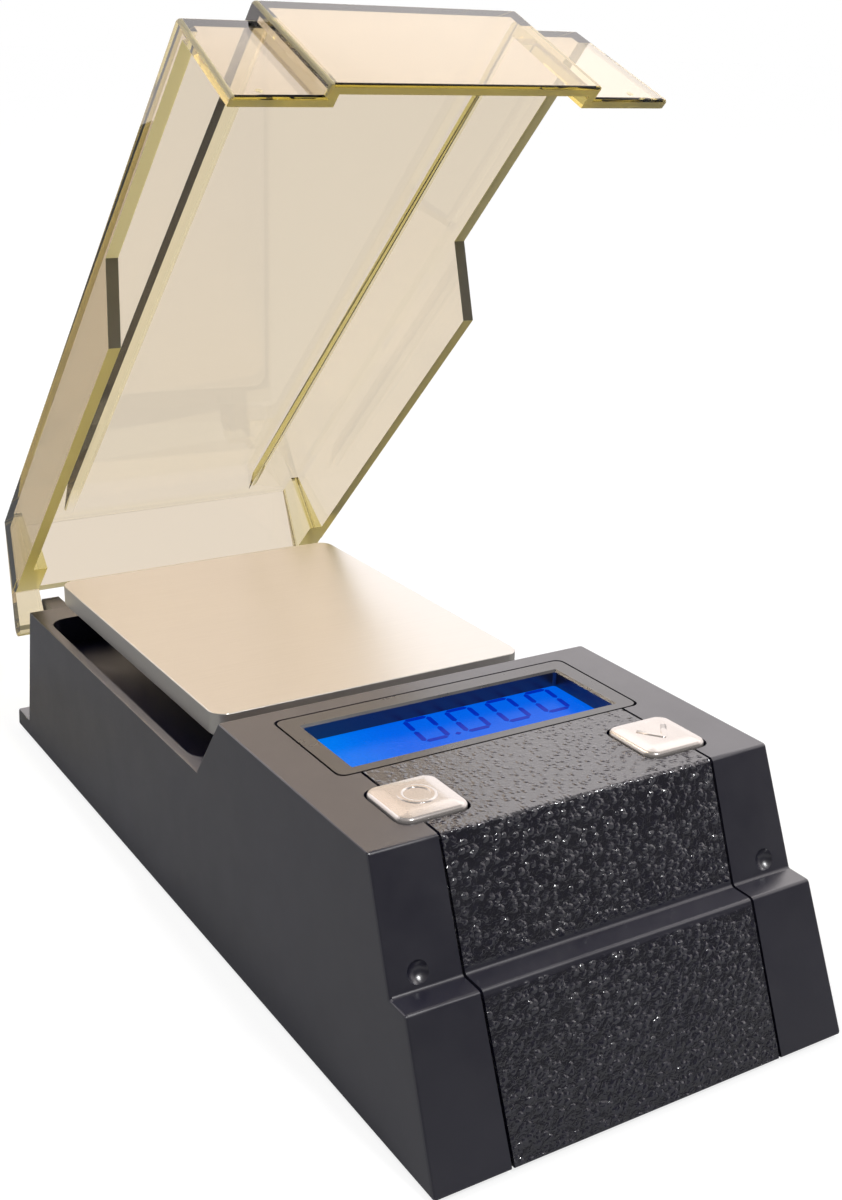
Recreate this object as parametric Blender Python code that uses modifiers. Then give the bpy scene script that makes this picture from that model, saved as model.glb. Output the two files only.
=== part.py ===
"""Pocket gram scale: a dark two-part case, a flat steel pan and a clear lid hinged at the rear.

Lengths are in metres. Every height below is measured from the lower edge of the housing, +Y points to
the rear and X is the width. The whole scale is set on its feet, and its footprint is centred, at the end.
"""

import math

import bmesh
import bpy
from mathutils import Matrix, Vector

# Clearances and allowances
seat_gap = 0.0003
overrun = 0.002
bite = 0.0002
skin_step = 0.0001
weld_distance = 0.000002

# Counts and angles
round_sides = 24
small_sides = 16
corner_steps = 4
smooth_angle = math.radians(35)

# Case outline
body_length = 0.144
body_half_width = 0.03058
body_draft_share = 0.034
deck_height = 0.034
deck_front = -0.0547
deck_rear = -0.015
ramp_foot = -0.008
ramp_rise = 0.0098
front_step = 0.0152
ledge_outer = -0.0642
ledge_inner = -0.0607
rear_top = 0.0634
rear_foot = 0.066
rear_ledge_height = 0.00306
case_wall = 0.0018
deck_thickness = 0.002
case_edge = 0.0004

# Pan well in the case
well_inset = 0.00218
well_front = -0.005
well_rear = 0.0576
well_depth = 0.0047
well_corner = 0.0032

# Trim grooves and lid detents
groove_inset = 0.01048
groove_width = 0.0004
groove_depth = 0.0005
detent_inset = 0.00478
detent_rise = 0.0022
detent_ball = 0.0007
detent_proud = 0.0002
dimple_ball = 0.0017
dimple_depth = 0.0008

# Hinge
hinge_y = 0.06985
hinge_drop = 0.00462
rest_angle = math.radians(44.23)
pin_radius = 0.001
pin_length = 0.0028
lug_width = 0.003
lug_radius = 0.0022
lug_foot_drop = 0.0087
lug_top_drop = 0.0006
lug_shoulder_drop = 0.0027
lug_crest = 0.0705

# Lid
lid_rise = 0.00346
lid_inset = 0.00078
lid_draft_share = 0.09
lid_wall = 0.0018
lid_front_wall = 0.0015
lid_rear_top = 0.0648
lid_rear_foot = 0.072
lid_rear_gap = 0.0014
lid_edge = 0.0005
strip_inset = 0.011
strip_rise = 0.0019
strip_rear = 0.061
strip_ramp = 0.006
ear_width = 0.0043
ear_radius = 0.002
pillar_front = 0.0585
pillar_drop = 0.00146
ear_front = 0.0665

# Pan and its support
pan_inset = 0.0029
pan_front = -0.0053
pan_rear = 0.0588
pan_proud = 0.0061
pan_skirt = 0.0034
pan_sheet = 0.0006
pan_corner = 0.0024
pan_edge = 0.0006
support_inset = 0.0055
support_length = 0.05
support_plate = 0.0018
support_corner = 0.003
stem_half_width = 0.006
rib_inset = 0.006
rib_width = 0.0016
rib_depth = 0.0028
pan_play = 0.0005

# Load cell
cell_half_width = 0.006
cell_length = 0.047
cell_height_share = 0.33
cell_seat = 0.003
cell_bore = 0.0026
cell_bore_spread = 0.009
cell_slot = 0.0012
cell_screw_margin = 0.0033
cell_screw_pitch = 0.0065
stop_boss_height = 0.0016
stop_radius = 0.0015
stop_recess = 0.0006

# Base cover and its feet
base_thickness = 0.002
foot_radius = 0.0032
foot_height = 0.001
foot_proud = 0.0007
foot_edge = 0.0003
front_foot_x = 0.0175
front_foot_y = -0.0645
rear_foot_x = 0.0155
rear_foot_y = 0.058

# Screws
screw_radius = 0.0012
screw_head_radius = 0.0026
screw_head_height = 0.0009
screw_sink = 0.00015
screw_boss_radius = 0.0028
screw_boss_drop = 0.0013
screw_length = 0.012
screw_tip = 0.0004
drive_length = 0.0028
drive_width = 0.0006
drive_depth = 0.0005
front_screw_inset = 0.00608
front_screw_y = -0.0605
rear_screw_inset = 0.00758
rear_screw_y = 0.054
board_screw_radius = 0.0007
board_screw_head_radius = 0.0014
board_screw_head_height = 0.0007
board_screw_length = 0.0052
board_boss_radius = 0.0017

# Display
bezel_inset = 0.00768
bezel_front = -0.0365
bezel_rear = -0.0183
bezel_plate = 0.0008
bezel_corner = 0.0012
bezel_tube_wall = 0.0008
window_inset = 0.0027
window_front = -0.0347
window_rear = -0.0212
window_corner = 0.0005
window_chamfer = 0.0003
glass_depth = 0.0027
glass_thickness = 0.0017
glass_margin = 0.0021
strip_connector_width = 0.0018
strip_connector_margin = 0.0025
light_guide_height = 0.003
board_thickness = 0.0016
board_inset = 0.00338
board_front = -0.055
board_rear = -0.014
board_screw_inset = 0.0017
board_screw_front = -0.053
board_screw_rear = -0.017

# Keys
key_inset = 0.01253
key_y = -0.0464
key_half_width = 0.0048
key_proud = 0.0008
key_flange = 0.0007
key_flange_height = 0.001
key_edge = 0.0006
key_corner = 0.0015
key_stem_radius = 0.0015
key_stem_length = 0.0017
key_travel_gap = 0.00075
dome_radius = 0.0035
dome_crown_radius = 0.0018

# Battery bay
cell_radius = 0.00525
battery_length = 0.0445
battery_nub_length = 0.0012
battery_nub_radius = 0.0019
battery_shoulder = 0.0004
battery_spacing = 0.0112
bay_center = -0.0435
bay_side_gap = 0.00055
bay_wall = 0.0012
contact_thickness = 0.0004
contact_half_width = 0.0043
spring_length = 0.0029
spring_wire = 0.00025
spring_wide = 0.0032
spring_narrow = 0.0018
spring_turns = 3
spring_points = 9
door_pin_radius = 0.0004
door_pin_length = 0.0009
door_pin_gap = 0.00025
door_recess_half_width = 0.006
door_recess_length = 0.0022
door_recess_depth = 0.0007
door_recess_margin = 0.002

# Lead from the load cell to the board
lead_radius = 0.0008
lead_side = 0.0115
lead_step = 0.002

# Values that follow from the ones above
wall_top = deck_height - ramp_rise
ledge_height = deck_height - front_step
well_half_width = body_half_width - well_inset
groove_x = body_half_width - groove_inset
detent_x = body_half_width - detent_inset
detent_height = ledge_height + detent_rise
hinge_z = wall_top - hinge_drop
lug_foot = wall_top - lug_foot_drop
lug_top = wall_top - lug_top_drop
lug_shoulder = wall_top - lug_shoulder_drop
lid_height = deck_height + lid_rise
lid_half_width = body_half_width - lid_inset
lid_rear_edge = wall_top + lid_rear_gap
strip_half_width = lid_half_width - strip_inset
ear_inner = lid_half_width - ear_width
pillar_top = lid_height - pillar_drop
pan_half_width = well_half_width - pan_inset
pan_height = wall_top + pan_proud
support_half_width = pan_half_width - support_inset
rib_x = support_half_width - rib_inset
cell_height = cell_height_share * wall_top
screw_boss_top = ledge_height - screw_boss_drop
front_screw_x = body_half_width - front_screw_inset
rear_screw_x = body_half_width - rear_screw_inset
bezel_half_width = body_half_width - bezel_inset
window_half_width = bezel_half_width - window_inset
board_half_width = body_half_width - board_inset
board_screw_x = board_half_width - board_screw_inset
key_x = body_half_width - key_inset
body_front = -body_length / 2
body_rear = body_length / 2
rear_lean_share = (rear_foot - rear_top) / (wall_top - rear_ledge_height)
rear_foot_at_bottom = rear_foot + rear_lean_share * rear_ledge_height
well_floor = wall_top - well_depth
board_boss_end = deck_height - deck_thickness + bite
glass_top = deck_height - glass_depth
glass_bottom = glass_top - glass_thickness
board_top = glass_bottom - light_guide_height - 2 * seat_gap
board_bottom = board_top - board_thickness
plate_top = pan_height - pan_sheet - seat_gap
plate_bottom = plate_top - support_plate
cell_bottom = base_thickness + cell_seat + seat_gap
cell_top = cell_bottom + cell_height
pan_center = (pan_front + pan_rear) / 2
cell_front = pan_center - cell_length / 2
cell_rear = pan_center + cell_length / 2
stem_front = cell_front
stem_rear = stem_front + 2 * cell_screw_margin + cell_screw_pitch
end_stack = 2 * seat_gap + contact_thickness
bay_half_length = (2 * end_stack + seat_gap + spring_length + battery_length) / 2
bay_half_width = battery_spacing / 2 + cell_radius + bay_side_gap
bay_front = bay_center - bay_half_width
bay_rear = bay_center + bay_half_width
battery_height = base_thickness + seat_gap + cell_radius
bay_roof = battery_height + cell_radius + seat_gap
door_pivot_z = base_thickness / 2
door_pivot_y = bay_rear - seat_gap - door_pivot_z


class Materials:
    """Every material of the scale, made once by name."""

    made = {}

    @classmethod
    def get(cls, name, colour, roughness, metallic=0.0, transmission=0.0):
        if name not in cls.made:
            material = bpy.data.materials.new(name)
            material.use_nodes = True
            shader = material.node_tree.nodes["Principled BSDF"]
            shader.inputs["Base Color"].default_value = (*colour, 1.0)
            shader.inputs["Roughness"].default_value = roughness
            shader.inputs["Metallic"].default_value = metallic
            shader.inputs["Transmission Weight"].default_value = transmission
            material.diffuse_color = (*colour, 1.0)
            cls.made[name] = material
        return cls.made[name]


def dark_plastic():
    return Materials.get("dark_plastic", (0.035, 0.033, 0.036), 0.35)


def black_plastic():
    return Materials.get("black_plastic", (0.012, 0.012, 0.013), 0.5)


def clear_amber():
    return Materials.get("clear_amber", (0.86, 0.72, 0.42), 0.05, transmission=0.9)


def pan_steel():
    return Materials.get("pan_steel", (0.72, 0.68, 0.62), 0.3, metallic=1.0)


def screw_steel():
    return Materials.get("screw_steel", (0.5, 0.5, 0.5), 0.35, metallic=1.0)


def cell_aluminium():
    return Materials.get("cell_aluminium", (0.75, 0.76, 0.78), 0.4, metallic=1.0)


def spring_steel():
    return Materials.get("spring_steel", (0.62, 0.6, 0.56), 0.3, metallic=1.0)


def display_blue():
    return Materials.get("display_blue", (0.0, 0.14, 0.85), 0.15)


def key_ivory():
    return Materials.get("key_ivory", (0.74, 0.70, 0.63), 0.3)


def board_green():
    return Materials.get("board_green", (0.02, 0.16, 0.06), 0.5)


def soft_rubber():
    return Materials.get("soft_rubber", (0.02, 0.02, 0.02), 0.8)


def white_diffuser():
    return Materials.get("white_diffuser", (0.85, 0.85, 0.83), 0.4)


def battery_jacket():
    return Materials.get("battery_jacket", (0.06, 0.07, 0.09), 0.3, metallic=0.4)


def start_scene():
    for item in list(bpy.data.objects):
        bpy.data.objects.remove(item, do_unlink=True)
    for name in ("gram_scale", "gram_scale_cutters"):
        holder = bpy.data.collections.new(name)
        bpy.context.scene.collection.children.link(holder)


def put(name, mesh, material=None):
    """A new object among the parts."""
    item = bpy.data.objects.new(name, mesh)
    bpy.data.collections["gram_scale"].objects.link(item)
    if material is not None:
        mesh.materials.clear()
        mesh.materials.append(material)
    return item


def mesh_from(name, shape):
    """Turn a finished bmesh into a mesh with outward faces."""
    bmesh.ops.recalc_face_normals(shape, faces=shape.faces)
    mesh = bpy.data.meshes.new(name)
    shape.to_mesh(mesh)
    shape.free()
    return mesh


def smooth(mesh):
    mesh.shade_smooth()
    mesh.set_sharp_from_angle(angle=smooth_angle)


def block(name, low, high, material=None):
    """A box between two corners."""
    low = Vector(low)
    high = Vector(high)
    shape = bmesh.new()
    size = high - low
    place = Matrix.Translation((low + high) / 2) @ Matrix.Diagonal((*size, 1.0))
    bmesh.ops.create_cube(shape, size=1.0, matrix=place)
    return put(name, mesh_from(name, shape), material)


def rod(name, radius, start, end, sides=round_sides, material=None):
    """A straight cylinder between two points."""
    start = Vector(start)
    end = Vector(end)
    along = end - start
    turn = along.to_track_quat("Z", "Y").to_matrix().to_4x4()
    place = Matrix.Translation((start + end) / 2) @ turn
    shape = bmesh.new()
    bmesh.ops.create_cone(
        shape, cap_ends=True, segments=sides, radius1=radius, radius2=radius, depth=along.length, matrix=place
    )
    mesh = mesh_from(name, shape)
    smooth(mesh)
    return put(name, mesh, material)


def ball(name, radius, center):
    shape = bmesh.new()
    place = Matrix.Translation(Vector(center))
    bmesh.ops.create_uvsphere(shape, u_segments=small_sides, v_segments=small_sides // 2, radius=radius, matrix=place)
    mesh = mesh_from(name, shape)
    smooth(mesh)
    return put(name, mesh)


def flat_shape(name, outline, thickness, place, material=None):
    """A closed outline given thickness: a filled flat curve made into a mesh."""
    curve = bpy.data.curves.new(name, "CURVE")
    curve.dimensions = "2D"
    curve.fill_mode = "BOTH"
    curve.extrude = thickness / 2
    spline = curve.splines.new("POLY")
    spline.points.add(len(outline) - 1)
    for point, (u, v) in zip(spline.points, outline):
        point.co = (u, v, 0.0, 1.0)
    spline.use_cyclic_u = True
    guide = bpy.data.objects.new(name, curve)
    bpy.context.scene.collection.objects.link(guide)
    guide.matrix_world = place
    bpy.context.view_layer.update()
    solid = bpy.data.meshes.new_from_object(guide.evaluated_get(bpy.context.evaluated_depsgraph_get()))
    solid.transform(guide.matrix_world)
    bpy.data.objects.remove(guide, do_unlink=True)
    shape = bmesh.new()
    shape.from_mesh(solid)
    bmesh.ops.remove_doubles(shape, verts=shape.verts, dist=weld_distance)
    return put(name, mesh_from(name, shape), material)


def upright(name, outline, low, high, material=None):
    """An outline in X and Y carried up from one height to another."""
    place = Matrix.Translation((0.0, 0.0, (low + high) / 2))
    return flat_shape(name, outline, high - low, place, material)


def sideways(name, outline, low, high, material=None):
    """A side view in Y and Z carried across from one X to another."""
    turn = Matrix(((0.0, 0.0, 1.0, 0.0), (1.0, 0.0, 0.0, 0.0), (0.0, 1.0, 0.0, 0.0), (0.0, 0.0, 0.0, 1.0)))
    place = Matrix.Translation(((low + high) / 2, 0.0, 0.0)) @ turn
    return flat_shape(name, outline, high - low, place, material)


def set_sides(item, low_side, high_side):
    """Give the two flanks of a sideways shape their place at each height."""
    middle = sum(vertex.co.x for vertex in item.data.vertices) / len(item.data.vertices)
    for vertex in item.data.vertices:
        side = high_side if vertex.co.x > middle else low_side
        vertex.co.x = side(vertex.co.z)
    return item


def drafted(name, outline, half_width, material=None):
    """A side view as wide as half_width says at each height."""
    reach = half_width(0.0)
    item = sideways(name, outline, -reach, reach, material)
    return set_sides(item, lambda z: -half_width(z), half_width)


def turned(name, profile, center, sides=small_sides, material=None, turn=None):
    """A profile of radius and height, listed from the top down, turned about its upright axis."""
    mesh = bpy.data.meshes.new(name)
    points = [(radius, 0.0, height) for radius, height in profile]
    mesh.from_pydata(points, [(i, i + 1) for i in range(len(points) - 1)], [])
    mesh.update()
    item = put(name, mesh, material)
    screw = item.modifiers.new("Turn", "SCREW")
    screw.axis = "Z"
    screw.steps = sides
    screw.render_steps = sides
    screw.use_merge_vertices = True
    screw.merge_threshold = weld_distance
    screw.use_smooth_shade = False
    item.location = center
    if turn is not None:
        item.rotation_euler = turn
    return item


def bevel(item, width, segments=2):
    edge = item.modifiers.new("Edge", "BEVEL")
    edge.width = width
    edge.segments = segments
    edge.limit_method = "ANGLE"
    edge.angle_limit = smooth_angle
    item.modifiers.new("Flat", "TRIANGULATE")
    return item


def aside(tool):
    """Put a tool among the cutters."""
    for holder in list(tool.users_collection):
        holder.objects.unlink(tool)
    bpy.data.collections["gram_scale_cutters"].objects.link(tool)
    tool.hide_render = True
    tool.display_type = "WIRE"


def combine(target, tool, operation):
    step = target.modifiers.new(tool.name, "BOOLEAN")
    step.operation = operation
    step.solver = "EXACT"
    step.object = tool
    aside(tool)
    return target


def gathered(name, tools):
    """Separate closed shapes as one object."""
    shape = bmesh.new()
    for tool in tools:
        shape.from_mesh(tool.data)
        bpy.data.objects.remove(tool, do_unlink=True)
    mesh = bpy.data.meshes.new(name)
    shape.to_mesh(mesh)
    shape.free()
    return put(name, mesh)


def cut(target, *tools):
    tool = tools[0] if len(tools) == 1 else gathered(tools[0].name, tools)
    return combine(target, tool, "DIFFERENCE")


def join(target, *tools):
    tool = tools[0] if len(tools) == 1 else gathered(tools[0].name, tools)
    return combine(target, tool, "UNION")


def rounded(outline, radius):
    """An outline with every corner turned into an arc."""
    count = len(outline)
    result = []
    for index in range(count):
        before = Vector(outline[index - 1])
        here = Vector(outline[index])
        after = Vector(outline[(index + 1) % count])
        back = (before - here).normalized()
        ahead = (after - here).normalized()
        half = back.angle(ahead) / 2
        reach = radius / math.tan(half)
        middle = here + (back + ahead).normalized() * (radius / math.sin(half))
        first = here + back * reach - middle
        last = here + ahead * reach - middle
        sweep = first.angle_signed(last)
        for step in range(corner_steps + 1):
            result.append(middle + Matrix.Rotation(-sweep * step / corner_steps, 2) @ first)
    return result


def box_outline(x_low, x_high, y_low, y_high):
    return [(x_low, y_low), (x_high, y_low), (x_high, y_high), (x_low, y_high)]


def moved_edges(outline, distances):
    """The outline with each edge moved outward by its distance. The outline runs counter-clockwise."""
    count = len(outline)
    lines = []
    for index in range(count):
        start = Vector(outline[index])
        along = (Vector(outline[(index + 1) % count]) - start).normalized()
        outward = Vector((along.y, -along.x))
        lines.append((start + outward * distances[index], along))
    result = []
    for index in range(count):
        start, along = lines[index - 1]
        other, other_along = lines[index]
        share = (other - start).cross(other_along) / along.cross(other_along)
        result.append(start + along * share)
    return result


def arc(center_y, center_z, radius, first, last, steps):
    """Points on a circle from one angle to another."""
    points = []
    for step in range(steps + 1):
        angle = first + (last - first) * step / steps
        points.append((center_y + radius * math.cos(angle), center_z + radius * math.sin(angle)))
    return points


def both_sides(x):
    """The place on the left and the place on the right."""
    return (("left", -x), ("right", x))


def body_side(z):
    return body_half_width - body_draft_share * z


def lid_side(z):
    return lid_half_width - lid_draft_share * (z - wall_top)


def front_line():
    """The case's side view from the ramp's foot round the front to the bottom."""
    return [
        (ramp_foot, wall_top),
        (deck_rear, deck_height),
        (deck_front, deck_height),
        (ledge_inner, ledge_height),
        (ledge_outer, ledge_height),
    ]


def case_outline():
    start = [(body_front, 0.0), (body_rear, 0.0), (body_rear, rear_ledge_height)]
    rear = [(rear_foot, rear_ledge_height), (rear_top, wall_top)]
    return start + rear + front_line()


def plain_outline():
    """The case's side view without the ledge along its rear foot."""
    return [(body_front, 0.0), (rear_foot_at_bottom, 0.0), (rear_top, wall_top)] + front_line()


def cavity_outline():
    floor = well_depth + case_wall
    walls = [overrun, -case_wall, -floor, -case_wall, -deck_thickness, -case_wall, -case_wall, -case_wall]
    return moved_edges(plain_outline(), walls)


def front_inner_y(z):
    """The inside of the lower front wall at a height."""
    share = (ledge_outer - body_front) / ledge_height
    thickness = case_wall * math.hypot(1.0, share)
    return body_front + share * z + thickness


def rear_inner_y(z):
    """The inside of the rear wall at a height."""
    thickness = case_wall * math.hypot(1.0, rear_lean_share)
    return rear_foot_at_bottom - rear_lean_share * z - thickness


def upper_front_share():
    return (deck_front - ledge_inner) / (deck_height - ledge_height)


def upper_front_y(z, out):
    """A line in front of the upper front face by a distance, at a height."""
    share = upper_front_share()
    return ledge_inner + share * (z - ledge_height) - out * math.hypot(1.0, share)


def case_screw_places():
    places = []
    for side, x in both_sides(front_screw_x):
        places.append((x, front_screw_y))
    for side, x in both_sides(rear_screw_x):
        places.append((x, rear_screw_y))
    return places


def foot_places():
    places = []
    for side, x in both_sides(front_foot_x):
        places.append((x, front_foot_y))
    for side, x in both_sides(rear_foot_x):
        places.append((x, rear_foot_y))
    return places


def board_screw_places():
    places = []
    for y in (board_screw_front, board_screw_rear):
        for side, x in both_sides(board_screw_x):
            places.append((x, y))
    return places


def support_screw_places():
    first = cell_front + cell_screw_margin
    return [first, first + cell_screw_pitch]


def cell_screw_places():
    last = cell_rear - cell_screw_margin
    return [last - cell_screw_pitch, last]


def lug_outline():
    bottom = [(rear_top - bite, lug_foot)]
    nose = arc(hinge_y, hinge_z, lug_radius, -math.pi / 2, 0.0, corner_steps)
    top = [(hinge_y + lug_radius, lug_shoulder), (lug_crest, lug_top), (rear_top - bite, lug_top)]
    return bottom + nose + top


def make_housing():
    housing = drafted("top_housing", case_outline(), body_side, dark_plastic())
    bevel(housing, case_edge)
    cut_grooves(housing)
    cut_dimples(housing)
    cut(housing, drafted("case_cavity", cavity_outline(), lambda z: body_side(z) - case_wall))
    well = rounded(box_outline(-well_half_width, well_half_width, well_front, well_rear), well_corner)
    cut(housing, upright("pan_well", well, well_floor, deck_height))
    add_case_bosses(housing)
    add_board_bosses(housing)
    add_hinge_lugs(housing)
    cut_stem_hole(housing)
    cut_display_seat(housing)
    cut_key_holes(housing)
    return housing


def add_case_bosses(housing):
    foot = base_thickness + seat_gap
    bore = screw_radius + seat_gap
    depth = screw_length + seat_gap
    bosses = []
    bores = []
    for x, y in case_screw_places():
        top = screw_boss_top if y < 0 else well_floor - case_wall + bite
        bosses.append(rod("case_bosses", screw_boss_radius, (x, y, foot), (x, y, top)))
        bores.append(rod("case_bores", bore, (x, y, foot - overrun), (x, y, depth), small_sides))
    join(housing, *bosses)
    cut(housing, *bores)


def add_board_bosses(housing):
    foot = board_top + seat_gap
    bore = board_screw_radius + seat_gap
    top = board_bottom + board_screw_length + seat_gap
    bosses = []
    bores = []
    for x, y in board_screw_places():
        bosses.append(rod("board_bosses", board_boss_radius, (x, y, foot), (x, y, board_boss_end), small_sides))
        bores.append(rod("board_bores", bore, (x, y, foot - overrun), (x, y, top), small_sides))
    join(housing, *bosses)
    cut(housing, *bores)


def add_hinge_lugs(housing):
    outer = ear_inner - seat_gap
    inner = outer - lug_width
    lugs = []
    for side, sign in both_sides(1.0):
        low = min(sign * inner, sign * outer)
        lugs.append(sideways("hinge_lugs", lug_outline(), low, low + lug_width))
    join(housing, *lugs)
    bores = []
    for side, sign in both_sides(1.0):
        start = (sign * (inner - overrun), hinge_y, hinge_z)
        end = (sign * (outer + overrun), hinge_y, hinge_z)
        bores.append(rod("lug_bores", pin_radius + seat_gap, start, end, small_sides))
    cut(housing, *bores)


def cut_stem_hole(housing):
    reach = stem_half_width + pan_play
    low = (-reach, stem_front - pan_play, well_floor - case_wall - overrun)
    high = (reach, stem_rear + pan_play, well_floor + overrun)
    cut(housing, block("stem_hole", low, high))


def cut_display_seat(housing):
    width = bezel_half_width + seat_gap
    seat = rounded(box_outline(-width, width, bezel_front - seat_gap, bezel_rear + seat_gap), bezel_corner)
    floor = deck_height - bezel_plate - seat_gap
    cut(housing, upright("bezel_seat", seat, floor, deck_height + overrun))
    margin = bezel_tube_wall + seat_gap
    reach = window_half_width + margin
    low = (-reach, window_front - margin, deck_height - deck_thickness - overrun)
    high = (reach, window_rear + margin, floor + overrun)
    cut(housing, block("display_opening", low, high))


def cut_key_holes(housing):
    reach = key_half_width + seat_gap
    low = deck_height - deck_thickness - overrun
    holes = []
    for side, x in both_sides(key_x):
        outline = box_outline(x - reach, x + reach, key_y - reach, key_y + reach)
        hole = rounded(outline, key_corner + seat_gap)
        holes.append(upright("key_holes", hole, low, deck_height + overrun))
    cut(housing, *holes)


def groove_outline():
    """A thin band along the deck, down the front faces and round the ledge."""
    skin = plain_outline()
    outer = moved_edges(skin, [overrun] * len(skin))
    inner = moved_edges(skin, [-groove_depth] * len(skin))
    start = bezel_front - seat_gap
    outside = [(start, outer[5].y), outer[5], outer[6], outer[7], outer[0]]
    inside = [(inner[0].x, outer[0].y), inner[7], inner[6], inner[5], (start, inner[5].y)]
    return outside + inside


def cut_grooves(housing):
    grooves = []
    for side, x in both_sides(groove_x):
        low = x - groove_width / 2
        grooves.append(sideways("grooves", groove_outline(), low, low + groove_width))
    cut(housing, *grooves)


def cut_dimples(housing):
    y = upper_front_y(detent_height, dimple_ball - dimple_depth)
    cut(housing, *[ball("dimples", dimple_ball, (x, y, detent_height)) for side, x in both_sides(detent_x)])


def lid_outline():
    """The lid's outer side view, closed, without its raised strip."""
    rim = ledge_height + seat_gap
    out = seat_gap + lid_front_wall
    lean = (lid_rear_foot - lid_rear_top) / (lid_height - hinge_z)
    rear = lid_rear_foot + lean * (hinge_z - rim)
    return [
        (upper_front_y(rim, out), rim),
        (rear, rim),
        (lid_rear_top, lid_height),
        (upper_front_y(lid_height, out), lid_height),
    ]


def strip_outline():
    """The raised strip's side view: its rear end slopes down into the top of the lid."""
    rim = ledge_height + seat_gap
    out = seat_gap + lid_front_wall + strip_rise
    top = lid_height + strip_rise
    end = strip_rear + lid_wall * strip_ramp / (2 * strip_rise)
    return [
        (upper_front_y(rim, out), rim),
        (end, rim),
        (end, lid_height - lid_wall / 2),
        (strip_rear - strip_ramp, top),
        (upper_front_y(top, out), top),
    ]


def rest_on_case():
    """The space that the closed case takes from the lid, one gap larger than the case."""
    skin = plain_outline()
    grown = moved_edges(skin, [seat_gap] * len(skin))
    return [(grown[0].x, body_front), (grown[1].x, body_front)] + grown[2:]


def ear_outline():
    """A corner pillar with the hinge ear below it."""
    outline = lid_outline()
    lean = (outline[1][0] - outline[2][0]) / (outline[2][1] - outline[1][1])
    slope = math.atan(lean)
    bottom = wall_top + seat_gap
    round_end = arc(hinge_y, hinge_z, ear_radius - skin_step, math.pi, 2 * math.pi + slope, 2 * corner_steps)
    rear_y = lid_rear_top + lean * (lid_height - pillar_top) - skin_step
    return [(pillar_front, bottom), (ear_front, bottom)] + round_end + [(rear_y, pillar_top), (pillar_front, pillar_top)]


def make_lid():
    walls = [overrun, -lid_wall, -lid_wall, -lid_front_wall]
    strip_walls = [overrun, -lid_wall, -lid_wall, -lid_wall, -lid_front_wall]
    lid = drafted("lid", lid_outline(), lid_side, clear_amber())
    bevel(lid, lid_edge)
    reach = body_half_width + overrun
    cut(lid, sideways("case_clearance", rest_on_case(), -reach, reach))
    cut(lid, block("rear_opening", (-reach, rear_top, 0.0), (reach, body_rear + overrun, lid_rear_edge)))
    strip = sideways("lid_strip", strip_outline(), -strip_half_width, strip_half_width)
    join(lid, bevel(strip, lid_edge))
    cut(lid, drafted("lid_inside", moved_edges(lid_outline(), walls), lambda z: lid_side(z) - lid_wall))
    reach = strip_half_width - lid_front_wall
    cut(lid, sideways("strip_inside", moved_edges(strip_outline(), strip_walls), -reach, reach))
    join(lid, *[hinge_ear(sign) for side, sign in both_sides(1.0)])
    join(lid, *[hinge_pin(sign) for side, sign in both_sides(1.0)])
    y = upper_front_y(detent_height, seat_gap + detent_ball - detent_proud)
    return join(lid, *[ball("detents", detent_ball, (x, y, detent_height)) for side, x in both_sides(detent_x)])


def hinge_ear(sign):
    """A corner pillar with its ear, on one side."""
    ear = sideways("hinge_ears", ear_outline(), -lid_half_width, lid_half_width)
    if sign > 0:
        return set_sides(ear, lambda z: ear_inner, lambda z: lid_side(z) - skin_step)
    return set_sides(ear, lambda z: skin_step - lid_side(z), lambda z: -ear_inner)


def hinge_pin(sign):
    start = (sign * (ear_inner - pin_length), hinge_y, hinge_z)
    end = (sign * (ear_inner + bite), hinge_y, hinge_z)
    return rod("hinge_pins", pin_radius, start, end, small_sides)


def make_pan():
    outline = rounded(box_outline(-pan_half_width, pan_half_width, pan_front, pan_rear), pan_corner)
    bottom = pan_height - pan_skirt
    pan = upright("weighing_pan", outline, bottom, pan_height, pan_steel())
    bevel(pan, pan_edge, 3)
    reach = pan_half_width - pan_sheet
    inside = rounded(
        box_outline(-reach, reach, pan_front + pan_sheet, pan_rear - pan_sheet), pan_corner - pan_sheet
    )
    return cut(pan, upright("pan_inside", inside, bottom - overrun, pan_height - pan_sheet))


def make_pan_support():
    front = pan_center - support_length / 2
    rear = pan_center + support_length / 2
    outline = rounded(box_outline(-support_half_width, support_half_width, front, rear), support_corner)
    support = upright("pan_support", outline, plate_bottom, plate_top, black_plastic())
    low = (-stem_half_width, stem_front, cell_top + seat_gap)
    join(support, block("support_stem", low, (stem_half_width, stem_rear, plate_bottom + bite)))
    for side, x in both_sides(rib_x):
        low = (x - rib_width / 2, front + support_corner, plate_bottom - rib_depth)
        high = (x + rib_width / 2, rear - support_corner, plate_bottom + bite)
        join(support, block(f"{side}_rib", low, high))
    sink = plate_top - screw_sink - screw_head_height - seat_gap
    for index, y in enumerate(support_screw_places()):
        head = screw_head_radius + seat_gap
        cut(support, rod(f"support_sink_{index}", head, (0.0, y, sink), (0.0, y, plate_top + overrun), small_sides))
        bore = screw_radius + seat_gap
        cut(support, rod(f"support_bore_{index}", bore, (0.0, y, cell_top), (0.0, y, sink + bite), small_sides))
    return support


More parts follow.
